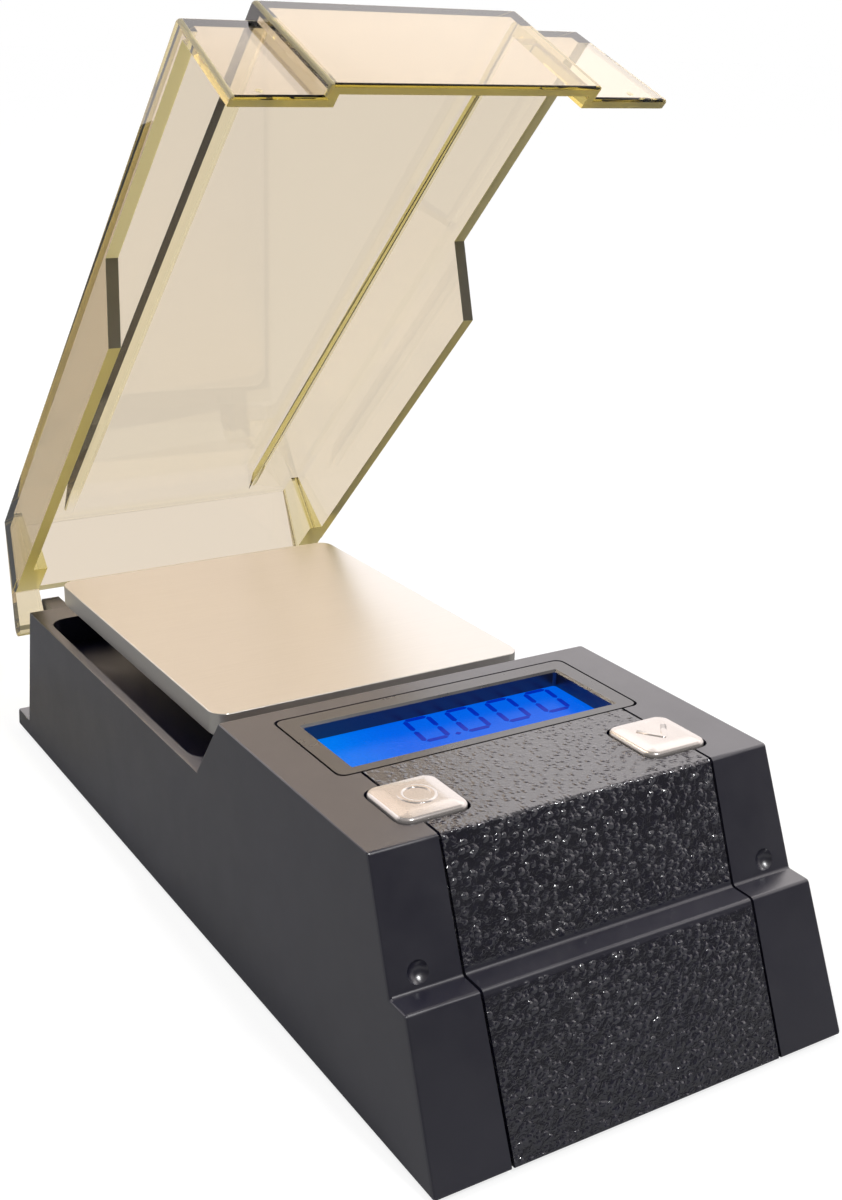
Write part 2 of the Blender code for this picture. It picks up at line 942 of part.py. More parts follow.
def make_load_cell():
    low = (-cell_half_width, cell_front, cell_bottom)
    high = (cell_half_width, cell_rear, cell_top)
    cell = block("load_cell", low, high, cell_aluminium())
    middle = (cell_bottom + cell_top) / 2
    reach = cell_half_width + overrun
    for index, y in enumerate((pan_center - cell_bore_spread / 2, pan_center + cell_bore_spread / 2)):
        cut(cell, rod(f"cell_window_{index}", cell_bore, (-reach, y, middle), (reach, y, middle)))
    low = (-reach, pan_center - cell_bore_spread / 2, middle - cell_slot / 2)
    high = (reach, pan_center + cell_bore_spread / 2, middle + cell_slot / 2)
    cut(cell, block("cell_slot", low, high))
    bore = screw_radius + seat_gap
    for index, y in enumerate(support_screw_places()):
        start = (0.0, y, cell_bottom + screw_radius)
        cut(cell, rod(f"cell_top_bore_{index}", bore, start, (0.0, y, cell_top + overrun), small_sides))
    for index, y in enumerate(cell_screw_places()):
        end = (0.0, y, cell_top - screw_radius)
        cut(cell, rod(f"cell_low_bore_{index}", bore, (0.0, y, cell_bottom - overrun), end, small_sides))
    return cell


def make_screw(name, x, y, head_outer, tip, sizes):
    """A screw from the outer face of its head to its tip, up or down, with a cross drive in the head."""
    radius, head_radius, head_height = sizes
    up = tip > head_outer
    sign = 1.0 if up else -1.0
    under_head = head_outer + sign * head_height
    shank = [
        (0.0, tip),
        (radius - screw_tip, tip),
        (radius, tip - sign * screw_tip),
        (radius, under_head),
        (head_radius, under_head),
        (head_radius, head_outer),
        (0.0, head_outer),
    ]
    profile = shank if up else list(reversed(shank))
    screw = turned(name, profile, (x, y, 0.0), material=screw_steel())
    share = head_radius / screw_head_radius
    long = drive_length * share / 2
    short = drive_width * share / 2
    floor = head_outer + sign * drive_depth * share
    outside = head_outer - sign * overrun
    for index, (across, deep) in enumerate(((long, short), (short, long))):
        low = (x - across, y - deep, min(floor, outside))
        high = (x + across, y + deep, max(floor, outside))
        cut(screw, block(f"{name}_drive_{index}", low, high))
    return screw


def make_screws():
    large = (screw_radius, screw_head_radius, screw_head_height)
    for index, (x, y) in enumerate(case_screw_places()):
        make_screw(f"case_screw_{index + 1}", x, y, screw_sink, screw_length, large)
    for index, y in enumerate(cell_screw_places()):
        make_screw(f"load_cell_screw_{index + 1}", 0.0, y, screw_sink, cell_top - 2 * screw_radius, large)
    for index, y in enumerate(support_screw_places()):
        tip = cell_bottom + screw_radius + pan_play
        make_screw(f"support_screw_{index + 1}", 0.0, y, plate_top - screw_sink, tip, large)
    small = (board_screw_radius, board_screw_head_radius, board_screw_head_height)
    for index, (x, y) in enumerate(board_screw_places()):
        head = board_bottom - seat_gap - board_screw_head_height
        make_screw(f"board_screw_{index + 1}", x, y, head, board_bottom + board_screw_length, small)
    stop_y = (stem_front + stem_rear) / 2
    rod(
        "overload_stop_screw",
        stop_radius,
        (0.0, stop_y, stop_recess),
        (0.0, stop_y, cell_bottom - seat_gap),
        small_sides,
        screw_steel(),
    )


def make_base_cover():
    front = front_inner_y(base_thickness) + seat_gap
    rear = rear_inner_y(base_thickness) - seat_gap
    plate = [(front, 0.0), (rear, 0.0), (rear, base_thickness), (front, base_thickness)]
    cover = drafted("base_cover", plate, lambda z: body_side(z) - case_wall - seat_gap, black_plastic())
    low = (-bay_half_length - bay_wall, bay_front - bay_wall, base_thickness - bite)
    high = (bay_half_length + bay_wall, bay_rear + bay_wall, bay_roof + bay_wall)
    join(cover, block("battery_box", low, high))
    low = (-bay_half_length, bay_front, -overrun)
    cut(cover, block("battery_bay", low, (bay_half_length, bay_rear, bay_roof)))
    add_cell_seats(cover)
    cut_cover_holes(cover)
    for side, sign in both_sides(1.0):
        start = (sign * (bay_half_length - overrun), door_pivot_y, door_pivot_z)
        end = (sign * (bay_half_length + door_pin_length), door_pivot_y, door_pivot_z)
        cut(cover, rod(f"{side}_door_socket", door_pin_radius + door_pin_gap, start, end, small_sides))
    return cover


def add_cell_seats(cover):
    clamp_front = cell_screw_places()[0] - cell_screw_margin
    low = (-cell_half_width, clamp_front, base_thickness - bite)
    high = (cell_half_width, cell_rear, base_thickness + cell_seat)
    join(cover, block("cell_seat", low, high))
    stop_y = (stem_front + stem_rear) / 2
    foot = (0.0, stop_y, base_thickness - bite)
    top = (0.0, stop_y, base_thickness + stop_boss_height)
    join(cover, rod("stop_boss", stop_radius + case_wall, foot, top))
    bottom = (0.0, stop_y, -overrun)
    above = (0.0, stop_y, base_thickness + stop_boss_height + overrun)
    cut(cover, rod("stop_bore", stop_radius + seat_gap, bottom, above, small_sides))


def cut_cover_holes(cover):
    sink = screw_sink + screw_head_height + seat_gap
    head = screw_head_radius + seat_gap
    bore = screw_radius + seat_gap
    top = base_thickness + cell_seat + overrun
    depth = foot_height - foot_proud + seat_gap
    places = case_screw_places() + [(0.0, y) for y in cell_screw_places()]
    cut(cover, *[rod("cover_sinks", head, (x, y, -overrun), (x, y, sink), small_sides) for x, y in places])
    cut(cover, *[rod("cover_bores", bore, (x, y, -overrun), (x, y, top), small_sides) for x, y in places])
    recess = foot_radius + seat_gap
    cut(cover, *[rod("foot_recesses", recess, (x, y, -overrun), (x, y, depth)) for x, y in foot_places()])


def make_feet():
    for index, (x, y) in enumerate(foot_places()):
        profile = [
            (0.0, foot_height - foot_proud),
            (foot_radius, foot_height - foot_proud),
            (foot_radius, foot_edge - foot_proud),
            (foot_radius - foot_edge, -foot_proud),
            (0.0, -foot_proud),
        ]
        turned(f"foot_{index + 1}", profile, (x, y, 0.0), round_sides, soft_rubber())


def make_battery_door():
    front = bay_front + seat_gap
    nose = arc(door_pivot_y, door_pivot_z, door_pivot_z, -math.pi / 2, math.pi / 2, 2 * corner_steps)
    outline = [(front, 0.0)] + nose + [(front, base_thickness)]
    reach = bay_half_length - seat_gap
    door = sideways("battery_door", outline, -reach, reach, black_plastic())
    for side, sign in both_sides(1.0):
        start = (sign * (reach - bite), door_pivot_y, door_pivot_z)
        end = (sign * (reach + door_pin_length), door_pivot_y, door_pivot_z)
        join(door, rod(f"{side}_door_pin", door_pin_radius, start, end, small_sides))
    start = front + door_recess_margin
    low = (-door_recess_half_width, start, -overrun)
    cut(door, block("door_recess", low, (door_recess_half_width, start + door_recess_length, door_recess_depth)))
    return door


def make_batteries():
    """Two cells side by side, the second one turned end for end."""
    can = battery_length - battery_nub_length
    profile = [
        (0.0, battery_length),
        (battery_nub_radius, battery_length),
        (battery_nub_radius, can),
        (cell_radius - battery_shoulder, can),
        (cell_radius, can - battery_shoulder),
        (cell_radius, battery_shoulder),
        (cell_radius - battery_shoulder, 0.0),
        (0.0, 0.0),
    ]
    start = bay_half_length - end_stack - spring_length - seat_gap
    for index, sign in enumerate((1.0, -1.0)):
        y = bay_center - sign * battery_spacing / 2
        turn = (0.0, sign * math.pi / 2, 0.0)
        place = (-sign * start, y, battery_height)
        turned(f"battery_{index + 1}", profile, place, round_sides, battery_jacket(), turn)
        make_spring(f"battery_spring_{index + 1}", sign, y)


def make_spring(name, sign, y):
    """A cone of wire between the contact and the flat end of its cell."""
    low = bay_half_length - end_stack
    points = []
    count = spring_turns * spring_points
    for step in range(count + 1):
        share = step / count
        angle = 2 * math.pi * spring_turns * share
        radius = spring_wide + (spring_narrow - spring_wide) * share
        along = low - spring_wire - (spring_length - 2 * spring_wire) * share
        across = y + radius * math.cos(angle)
        points.append((-sign * along, across, battery_height + radius * math.sin(angle)))
    return tube(name, points, spring_wire, 1, spring_steel())


def tube(name, points, radius, resolution, material):
    """A wire along a list of points, with closed ends."""
    curve = bpy.data.curves.new(name, "CURVE")
    curve.dimensions = "3D"
    curve.bevel_depth = radius
    curve.bevel_resolution = resolution
    curve.use_fill_caps = True
    spline = curve.splines.new("POLY")
    spline.points.add(len(points) - 1)
    for point, place in zip(spline.points, points):
        point.co = (*place, 1.0)
    guide = bpy.data.objects.new(name, curve)
    bpy.context.scene.collection.objects.link(guide)
    bpy.context.view_layer.update()
    solid = bpy.data.meshes.new_from_object(guide.evaluated_get(bpy.context.evaluated_depsgraph_get()))
    solid.transform(guide.matrix_world)
    bpy.data.objects.remove(guide, do_unlink=True)
    shape = bmesh.new()
    shape.from_mesh(solid)
    bmesh.ops.remove_doubles(shape, verts=shape.verts, dist=weld_distance)
    return put(name, mesh_from(name, shape), material)


def make_contacts():
    """One link across both cells on the left and two separate contacts on the right."""
    outer = bay_half_length - seat_gap
    inner = outer - contact_thickness
    low_z = battery_height - contact_half_width
    high_z = battery_height + contact_half_width
    half = battery_spacing / 2
    low = (-outer, bay_center - half - contact_half_width, low_z)
    high = (-inner, bay_center + half + contact_half_width, high_z)
    block("battery_link", low, high, spring_steel())
    for index, y in enumerate((bay_center - half, bay_center + half)):
        low = (inner, y - contact_half_width, low_z)
        high = (outer, y + contact_half_width, high_z)
        block(f"battery_contact_{index + 1}", low, high, spring_steel())


def make_board():
    low = (-board_half_width, board_front, board_bottom)
    board = block("main_board", low, (board_half_width, board_rear, board_top), board_green())
    bore = board_screw_radius + seat_gap
    start = board_bottom - overrun
    end = board_top + overrun
    return cut(
        board, *[rod("board_holes", bore, (x, y, start), (x, y, end), small_sides) for x, y in board_screw_places()]
    )


def make_display():
    low = (-window_half_width - glass_margin, window_front - strip_connector_margin, glass_bottom)
    high = (window_half_width + glass_margin, window_rear + strip_connector_margin, glass_top)
    block("lcd_panel", low, high, display_blue())
    bottom = board_top + seat_gap
    top = glass_bottom - seat_gap
    front = window_front - strip_connector_margin + seat_gap
    rear = window_rear + strip_connector_margin - seat_gap
    for index, y in enumerate((front, rear - strip_connector_width)):
        low = (-window_half_width, y, bottom)
        high = (window_half_width, y + strip_connector_width, top)
        block(f"lcd_connector_{index + 1}", low, high, soft_rubber())
    low = (-window_half_width, front + strip_connector_width + seat_gap, bottom)
    high = (window_half_width, rear - strip_connector_width - seat_gap, top)
    block("lcd_backlight", low, high, white_diffuser())


def make_bezel():
    outline = rounded(box_outline(-bezel_half_width, bezel_half_width, bezel_front, bezel_rear), bezel_corner)
    bezel = upright("display_bezel", outline, deck_height - bezel_plate, deck_height, dark_plastic())
    wall = bezel_tube_wall
    low = (-window_half_width - wall, window_front - wall, glass_top + seat_gap)
    high = (window_half_width + wall, window_rear + wall, deck_height - bezel_plate + bite)
    join(bezel, block("bezel_tube", low, high))
    window = box_outline(-window_half_width, window_half_width, window_front, window_rear)
    cut(bezel, upright("display_window", rounded(window, window_corner), glass_top - overrun, deck_height + overrun))
    flare = upright("window_chamfer", window, deck_height - window_chamfer, deck_height + window_chamfer)
    middle = (window_front + window_rear) / 2
    for vertex in flare.data.vertices:
        if vertex.co.z > deck_height:
            vertex.co.x += math.copysign(2 * window_chamfer, vertex.co.x)
            vertex.co.y += math.copysign(2 * window_chamfer, vertex.co.y - middle)
    return cut(bezel, flare)


def make_keys():
    shelf = deck_height - deck_thickness - seat_gap
    for side, x in both_sides(key_x):
        reach = key_half_width
        outline = rounded(box_outline(x - reach, x + reach, key_y - reach, key_y + reach), key_corner)
        key = upright(f"{side}_button", outline, shelf - bite, deck_height + key_proud, key_ivory())
        bevel(key, key_edge)
        reach = key_half_width + key_flange
        low = (x - reach, key_y - reach, shelf - key_flange_height)
        join(key, block(f"{side}_key_flange", low, (x + reach, key_y + reach, shelf)))
        stem = shelf - key_flange_height - key_stem_length
        start = (x, key_y, stem)
        join(key, rod(f"{side}_key_stem", key_stem_radius, start, (x, key_y, shelf - bite), small_sides))
        crown = stem - key_travel_gap
        foot = board_top + seat_gap
        profile = [
            (0.0, crown),
            (dome_crown_radius, crown),
            (dome_radius, foot + key_edge),
            (dome_radius, foot),
            (0.0, foot),
        ]
        turned(f"{side}_dome", profile, (x, key_y, 0.0), small_sides, soft_rubber())


def make_lead():
    """The load cell's lead, from its flank along the case to the underside of the board."""
    middle = (cell_bottom + cell_top) / 2
    bend = lead_side - cell_half_width
    end_y = board_rear - bend
    route = [
        (-cell_half_width - seat_gap, pan_center, middle),
        (-cell_half_width - bend / 2, pan_center - bend / 4, middle),
        (-lead_side, pan_center - bend, middle),
        (-lead_side, pan_center - 2 * bend, middle),
        (-lead_side, cell_front, middle),
        (-lead_side, cell_front - bend, middle + bend / 4),
        (-lead_side, ramp_foot, middle + bend),
        (-lead_side, end_y + bend / 4, board_bottom - 2 * bend / 3),
        (-lead_side, end_y, board_bottom - bend / 4),
        (-lead_side, end_y, board_bottom - seat_gap),
    ]
    return tube("load_cell_cable", even_points(route, lead_step), lead_radius, 2, soft_rubber())


def even_points(route, step):
    """Points at an even spacing on a smooth curve through a route."""
    path = [Vector(place) for place in route]
    path = [2 * path[0] - path[1]] + path + [2 * path[-1] - path[-2]]
    fine = []
    pieces = 2 * round_sides
    for index in range(1, len(path) - 2):
        before, start, end, after = path[index - 1 : index + 3]
        for piece in range(pieces):
            t = piece / pieces
            bend = 2 * before - 5 * start + 4 * end - after
            twist = 3 * start - before - 3 * end + after
            fine.append((2 * start + (end - before) * t + bend * t**2 + twist * t**3) / 2)
    fine.append(path[-2])
    length = sum((b - a).length for a, b in zip(fine, fine[1:]))
    spacing = length / max(1, round(length / step))
    points = [fine[0]]
    run = 0.0
    for a, b in zip(fine, fine[1:]):
        run += (b - a).length
        if run >= spacing:
            points.append(b)
            run -= spacing
    points[-1] = fine[-1]
    return points


def hang_on(name, center, items):
    """An empty on a joint's axis that carries items without moving them."""
    pivot = bpy.data.objects.new(name, None)
    bpy.data.collections["gram_scale"].objects.link(pivot)
    pivot.location = center
    bpy.context.view_layer.update()
    for item in items:
        item.parent = pivot
        item.matrix_parent_inverse = pivot.matrix_world.inverted()
    return pivot


def with_tools(item):
    """An object and the tools that shape it."""
    return [item] + [step.object for step in item.modifiers if step.type == "BOOLEAN"]


def footprint_shift():
    """How far the middle of the whole scale, with its lid at rest, lies behind the middle of the case."""
    back = (lid_rear_top - hinge_y) * math.cos(rest_angle)
    rise = (lid_height - hinge_z) * math.sin(rest_angle)
    return (hinge_y + back + rise - body_rear) / 2


def main():
    start_scene()
    make_housing()
    lid = make_lid()
    pan = make_pan()
    support = make_pan_support()
    make_load_cell()
    make_screws()
    make_base_cover()
    make_feet()
    door = make_battery_door()
    make_batteries()
    make_contacts()
    make_board()
    make_display()
    make_bezel()
    make_keys()
    make_lead()
    lid_pivot = hang_on("lid_pivot", (0.0, hinge_y, hinge_z), with_tools(lid))
    lid_pivot.rotation_euler.x = -rest_angle
    door_pivot = hang_on("door_pivot", (0.0, door_pivot_y, door_pivot_z), with_tools(door))
    pan_pieces = with_tools(pan) + with_tools(support)
    for index in (1, 2):
        pan_pieces += with_tools(bpy.data.objects[f"support_screw_{index}"])
    pan_slide = hang_on("pan_slide", (0.0, pan_center, pan_height), pan_pieces)
    pivots = [lid_pivot, door_pivot, pan_slide]
    for side, x in both_sides(key_x):
        key = bpy.data.objects[f"{side}_button"]
        pivots.append(hang_on(f"{side}_button_slide", (x, key_y, deck_height), with_tools(key)))
    loose = [item for item in bpy.data.objects if item.parent is None and item not in pivots]
    table = hang_on("table_point", (0.0, 0.0, 0.0), loose + pivots)
    table.location = (0.0, -footprint_shift(), foot_proud)


main()
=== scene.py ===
"""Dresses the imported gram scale: moulded black case, brushed pan, clear amber lid, lit display and silver keys."""
import math

import bmesh
import bpy
import numpy as np
from mathutils import Matrix, Vector


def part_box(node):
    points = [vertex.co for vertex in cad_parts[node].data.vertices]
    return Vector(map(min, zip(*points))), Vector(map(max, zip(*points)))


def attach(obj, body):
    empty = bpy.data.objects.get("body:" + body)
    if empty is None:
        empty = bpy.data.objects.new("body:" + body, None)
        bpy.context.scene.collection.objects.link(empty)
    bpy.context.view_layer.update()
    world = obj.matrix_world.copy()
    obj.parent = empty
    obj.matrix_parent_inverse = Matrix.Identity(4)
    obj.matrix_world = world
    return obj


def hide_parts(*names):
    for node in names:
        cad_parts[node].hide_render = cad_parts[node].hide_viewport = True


MM = 0.001

# Camera: place, where it looks, and its lens.
CAMERA_PLACE = (-103.18 * MM, -188.16 * MM, 117.35 * MM)
CAMERA_AZIMUTH = 32.36
CAMERA_ELEVATION = -20.12
CAMERA_ROLL = 1.45
CAMERA_LENS = 46.216
SENSOR_SIZE = 36.0
CAMERA_SHIFT_X = -0.01593
CAMERA_SHIFT_Y = 0.01305
CAMERA_NEAR = 0.01
CAMERA_FAR = 60.0

# Light.
ROOM_LIGHT = 0.55
ROOM_DARK = 0.08
ROOM_ABOVE = 0.25
ROOM_BRIGHT = 1.45
ROOM_THROUGH_LID = 0.80
ROOM_BACK = (-0.25, 0.45)
ROOM_WARMTH = (1.0, 0.945, 0.935, 1.0)
ROOM_BACK_TOP = (0.66, 0.84)
ROOM_CROWN = (0.48, 0.62)
ROOM_CROWN_GAIN = 1.6
ROOM_TOP = (0.35, 0.75)
SUN_STRENGTH = 1.45
SUN_SPREAD = 34.0
SUN_TURN = (38.0, 0.0, -140.0)
FRONT_LAMP_PLACE = (0.10, -0.56, 0.86)
FRONT_LAMP_SIZE = 0.12
FRONT_LAMP_POWER = 5.0
FLOOR_HALF = 30.0
FLOOR_COLOUR = (0.24, 0.24, 0.24, 1.0)
FLOOR_LIFT = 0.78

# Case trim.
BAND_HALF = 20.1 * MM
BAND_REAR = -39.9 * MM
BAND_FADE = 0.15 * MM
LEDGE_HEIGHT = 19.5 * MM
LEDGE_BARE = 0.5 * MM

# Lid.
LID_TINT = (0.80, 0.71, 0.68, 1.0)
LID_SHADOW = (0.93, 0.89, 0.80, 1.0)
LID_DEPTH_COLOUR = (0.80, 0.74, 0.15, 1.0)
LID_DENSITY = 140.0
# The notch faces and cut rims carry painted shade: a dark colour on the notch faces and an olive one on the rims, for
# the dark look of the acrylic's edges.
NOTCH_FACING = (0.0, -0.989, 0.151)
NOTCH_PAINTED_SHADE = (0.17, 0.155, 0.12, 1.0)
RIM_FACING = (0.0, -0.698, -0.717)
RIM_REACH = -76.3 * MM
RIM_PAINTED_SHADE = (0.72, 0.62, 0.28, 1.0)
# Cut faces let less light through, so that their painted shade shows.
RIM_CLEAR = 0.55
FACING_SPAN = (0.990, 0.998)
WALL_FACINGS = (
    (0.0, 0.698, 0.717),
    (0.0, -0.410, 0.912),
    (0.0, -0.925, 0.379),
    (0.0, 0.881, 0.473),
    (0.0, -0.717, 0.698),
    (0.0, -0.885, 0.467),
    (0.0, -0.989, 0.151),
    (1.0, 0.0, 0.0),
    (0.996, 0.063, 0.064),
    (0.996, -0.063, -0.064),
)
# The lid's edge fillets also take the rims' painted olive shade, by this share.
EDGE_SPAN = (0.982, 0.992)
EDGE_SHARE = 0.75

# Keys.
KEY_HALF = 4.8 * MM
KEY_CORNER = 1.7 * MM
KEY_PLACES = {"left": (-18.05 * MM, -49.75 * MM), "right": (18.05 * MM, -49.75 * MM)}
KEY_TOP = 35.5 * MM
KEY_STEPS = 10
KEY_PROFILE = (
    (0.00, -1.00),
    (0.02, -0.62),
    (0.12, -0.46),
    (0.26, -0.33),
    (0.40, -0.27),
    (0.55, -0.235),
    (0.90, -0.165),
    (1.30, -0.085),
    (1.70, -0.025),
    (2.10, 0.00),
    (2.90, 0.00),
)
SYMBOL_RISE = 0.14 * MM
SYMBOL_HALF_WIDTH = 0.42 * MM
RING_RADIUS = 2.05 * MM
RING_STEPS = 72
ARCH_STEPS = 10
CHEVRON = ((-2.2, 1.35), (0.0, -1.55), (2.2, 1.35))

# Display.
DIGIT_TEXT = "0.000"
DIGIT_LEFT = -5.95 * MM
DIGIT_FRONT = -31.7 * MM
DIGIT_HEIGHT = 7.6 * MM
DIGIT_WIDTH = 4.4 * MM
DIGIT_PITCH = 6.6 * MM
DIGIT_LINE = 0.76 * MM
DIGIT_GAP = 0.22 * MM
DIGIT_SLANT = 0.10
DIGIT_RISE = 0.03 * MM

# Normals of the carried-over nodes.
SMOOTH_ANGLE = 34.0
MERGE_STEP = 1e-6


class Look:
    """One material's node tree, with short ways to add and join nodes."""

    def __init__(self, name):
        self.material = bpy.data.materials.new(name)
        self.material.use_nodes = True
        self.tree = self.material.node_tree
        self.tree.nodes.clear()
        self.output = self.add("ShaderNodeOutputMaterial")
        self.place = self.add("ShaderNodeTexCoord").outputs["Object"]

    def add(self, kind, **settings):
        node = self.tree.nodes.new(kind)
        for name, value in settings.items():
            setattr(node, name, value)
        return node

    def join(self, source, target):
        self.tree.links.new(source, target)

    def feed(self, value, target):
        """A link where value is a socket, and a set value where it is a number."""
        if isinstance(value, bpy.types.NodeSocket):
            self.join(value, target)
        else:
            target.default_value = value

    def shader(self, **sockets):
        """A Principled shader on the output, with its sockets set or linked."""
        node = self.add("ShaderNodeBsdfPrincipled")
        for name, value in sockets.items():
            self.feed(value, node.inputs[name.replace("_", " ")])
        self.join(node.outputs["BSDF"], self.output.inputs["Surface"])
        return node

    def stretched(self, scale, turn=(0.0, 0.0, 0.0)):
        node = self.add("ShaderNodeMapping")
        node.inputs["Scale"].default_value = scale
        node.inputs["Rotation"].default_value = turn
        self.join(self.place, node.inputs["Vector"])
        return node.outputs["Vector"]

    def noise(self, scale, detail=3.0, roughness=0.5, place=None, distortion=0.0):
        node = self.add("ShaderNodeTexNoise")
        node.inputs["Scale"].default_value = scale
        node.inputs["Detail"].default_value = detail
        node.inputs["Roughness"].default_value = roughness
        node.inputs["Distortion"].default_value = distortion
        self.join(place or self.place, node.inputs["Vector"])
        return node.outputs["Fac"]

    def cells(self, scale, place=None, feature="F1", smoothness=None):
        node = self.add("ShaderNodeTexVoronoi", feature=feature)
        node.inputs["Scale"].default_value = scale
        if smoothness is not None:
            node.inputs["Smoothness"].default_value = smoothness
        self.join(place or self.place, node.inputs["Vector"])
        return node.outputs["Distance"]

    def pushed(self, scale, amount):
        """The object's coordinates, pushed about by noise."""
        noise = self.add("ShaderNodeTexNoise")
        noise.inputs["Scale"].default_value = scale
        noise.inputs["Detail"].default_value = 2.0
        self.join(self.place, noise.inputs["Vector"])
        centred = self.add("ShaderNodeVectorMath", operation="SUBTRACT")
        centred.inputs[1].default_value = (0.5, 0.5, 0.5)
        self.join(noise.outputs["Color"], centred.inputs[0])
        scaled = self.add("ShaderNodeVectorMath", operation="SCALE")
        scaled.inputs["Scale"].default_value = amount
        self.join(centred.outputs["Vector"], scaled.inputs[0])
        moved = self.add("ShaderNodeVectorMath", operation="ADD")
        self.join(self.place, moved.inputs[0])
        self.join(scaled.outputs["Vector"], moved.inputs[1])
        return moved.outputs["Vector"]

    def maths(self, operation, first, second=None, clamp=False):
        node = self.add("ShaderNodeMath", operation=operation, use_clamp=clamp)
        self.feed(first, node.inputs[0])
        if second is not None:
            self.feed(second, node.inputs[1])
        return node.outputs["Value"]

    def between(self, value, low, high, to_low=0.0, to_high=1.0):
        """A value's range carried to another range, and held at its ends."""
        node = self.add("ShaderNodeMapRange", clamp=True)
        self.feed(value, node.inputs["Value"])
        node.inputs["From Min"].default_value = low
        node.inputs["From Max"].default_value = high
        node.inputs["To Min"].default_value = to_low
        node.inputs["To Max"].default_value = to_high
        return node.outputs["Result"]

    def blended(self, factor, first, second):
        """A colour between two colours."""
        node = self.add("ShaderNodeMix", data_type="RGBA")
        self.feed(factor, node.inputs["Factor"])
        self.feed(first, node.inputs["A"])
        self.feed(second, node.inputs["B"])
        return node.outputs["Result"]

    def axes(self):
        node = self.add("ShaderNodeSeparateXYZ")
        self.join(self.place, node.inputs["Vector"])
        return node.outputs["X"], node.outputs["Y"], node.outputs["Z"]

    def dotted(self, vector, fixed):
        node = self.add("ShaderNodeVectorMath", operation="DOT_PRODUCT")
        node.inputs[1].default_value = fixed
        self.join(vector, node.inputs[0])
        return node.outputs["Value"]

    def bumps(self, height, distance, strength=1.0, onto=None):
        node = self.add("ShaderNodeBump")
        node.inputs["Distance"].default_value = distance
        node.inputs["Strength"].default_value = strength
        self.join(height, node.inputs["Height"])
        if onto is not None:
            self.join(onto, node.inputs["Normal"])
        return node.outputs["Normal"]


def linear(red, green, blue):
    """A shader colour from 0..255 screen values."""
    def channel(value):
        share = value / 255.0
        return share / 12.92 if share <= 0.04045 else ((share + 0.055) / 1.055) ** 2.4
    return (channel(red), channel(green), channel(blue), 1.0)


def case_look():
    """Black moulded plastic, satin, with a leather grain on the front band between the two grooves, and painted shade
    in the gaps between its pebbles.
    """
    look = Look("case_plastic")
    across, along, up = look.axes()
    side = look.between(look.maths("ABSOLUTE", across), BAND_HALF - BAND_FADE, BAND_HALF + BAND_FADE, 1.0, 0.0)
    front = look.between(along, BAND_REAR - BAND_FADE, BAND_REAR + BAND_FADE, 1.0, 0.0)
    off_ledge = look.maths("ABSOLUTE", look.maths("SUBTRACT", up, LEDGE_HEIGHT))
    ledge = look.between(off_ledge, LEDGE_BARE, LEDGE_BARE + 3.0 * BAND_FADE, 0.0, 1.0)
    band = look.maths("MULTIPLY", look.maths("MULTIPLY", side, front), ledge)
    pushed = look.pushed(700.0, 0.0009)
    pebbles = look.cells(1150.0, pushed)
    domes = look.between(pebbles, 0.08, 0.50, 1.0, 0.0)
    creases = look.noise(1500.0, 2.0, 0.5, pushed, 0.6)
    grain = look.maths("ADD", look.maths("MULTIPLY", domes, 0.55), look.maths("MULTIPLY", creases, 0.35))
    leather = look.maths("MULTIPLY", grain, band)
    satin = look.noise(5200.0, 2.0)
    wide = look.noise(45.0, 3.0)
    height = look.bumps(leather, 0.28 * MM, 0.85, look.bumps(satin, 0.010 * MM, 0.3))
    tone = look.blended(wide, linear(9, 9, 27), linear(13, 12, 36))
    # Painted shade: the gaps between the band's pebbles are darkened in the colour.
    pit_shade = look.between(pebbles, 0.25, 0.75, 0.0, 0.5)
    colour = look.blended(look.maths("MULTIPLY", pit_shade, band), tone, linear(7, 7, 9))
    plain = look.between(look.noise(160.0, 4.0, 0.6), 0.3, 0.7, 0.29, 0.36)
    rough = look.maths("ADD", plain, look.maths("MULTIPLY", band, -0.11))
    look.shader(Base_Color=colour, Roughness=rough, IOR=1.70, Specular_IOR_Level=1.0, Normal=height)
    return look.material


def trim_look():
    """The display frame's plastic: the case's colour, a little smoother."""
    look = Look("trim_plastic")
    tone = look.blended(look.noise(60.0, 3.0), linear(13, 13, 20), linear(20, 19, 27))
    rough = look.between(look.noise(240.0, 4.0, 0.6), 0.3, 0.7, 0.26, 0.34)
    relief = look.bumps(look.noise(6000.0, 2.0), 0.01 * MM, 0.3)
    look.shader(Base_Color=tone, Roughness=rough, IOR=1.65, Specular_IOR_Level=1.0, Normal=relief)
    return look.material


def cover_look():
    """Spark-eroded black plastic on the underside."""
    look = Look("cover_plastic")
    tone = look.blended(look.noise(50.0, 3.0), linear(24, 24, 27), linear(36, 35, 38))
    texture = look.noise(2600.0, 3.0, 0.6)
    rough = look.between(look.noise(300.0, 3.0), 0.3, 0.7, 0.48, 0.60)
    look.shader(Base_Color=tone, Roughness=rough, IOR=1.5, Normal=look.bumps(texture, 0.05 * MM, 0.7))
    return look.material


def pan_look():
    """Stainless steel, brushed across the pan, with soft wipe marks."""
    look = Look("brushed_pan_steel")
    lines = look.noise(1.0, 3.0, 0.65, look.stretched((220.0, 6500.0, 4000.0)))
    long_lines = look.noise(1.0, 2.0, 0.5, look.stretched((40.0, 2200.0, 900.0)))
    wipes = look.noise(70.0, 3.0, 0.55, None, 1.2)
    both = look.maths("ADD", look.maths("MULTIPLY", lines, 0.6), look.maths("MULTIPLY", long_lines, 0.4))
    tone = look.blended(both, linear(205, 202, 196), linear(225, 222, 217))
    rough = look.maths("ADD", look.between(both, 0.3, 0.7, 0.27, 0.35), look.maths("MULTIPLY", wipes, 0.08))
    look.shader(
        Base_Color=tone,
        Metallic=1.0,
        Roughness=rough,
        Anisotropic=0.25,
        Normal=look.bumps(both, 0.010 * MM, 0.3),
    )
    return look.material


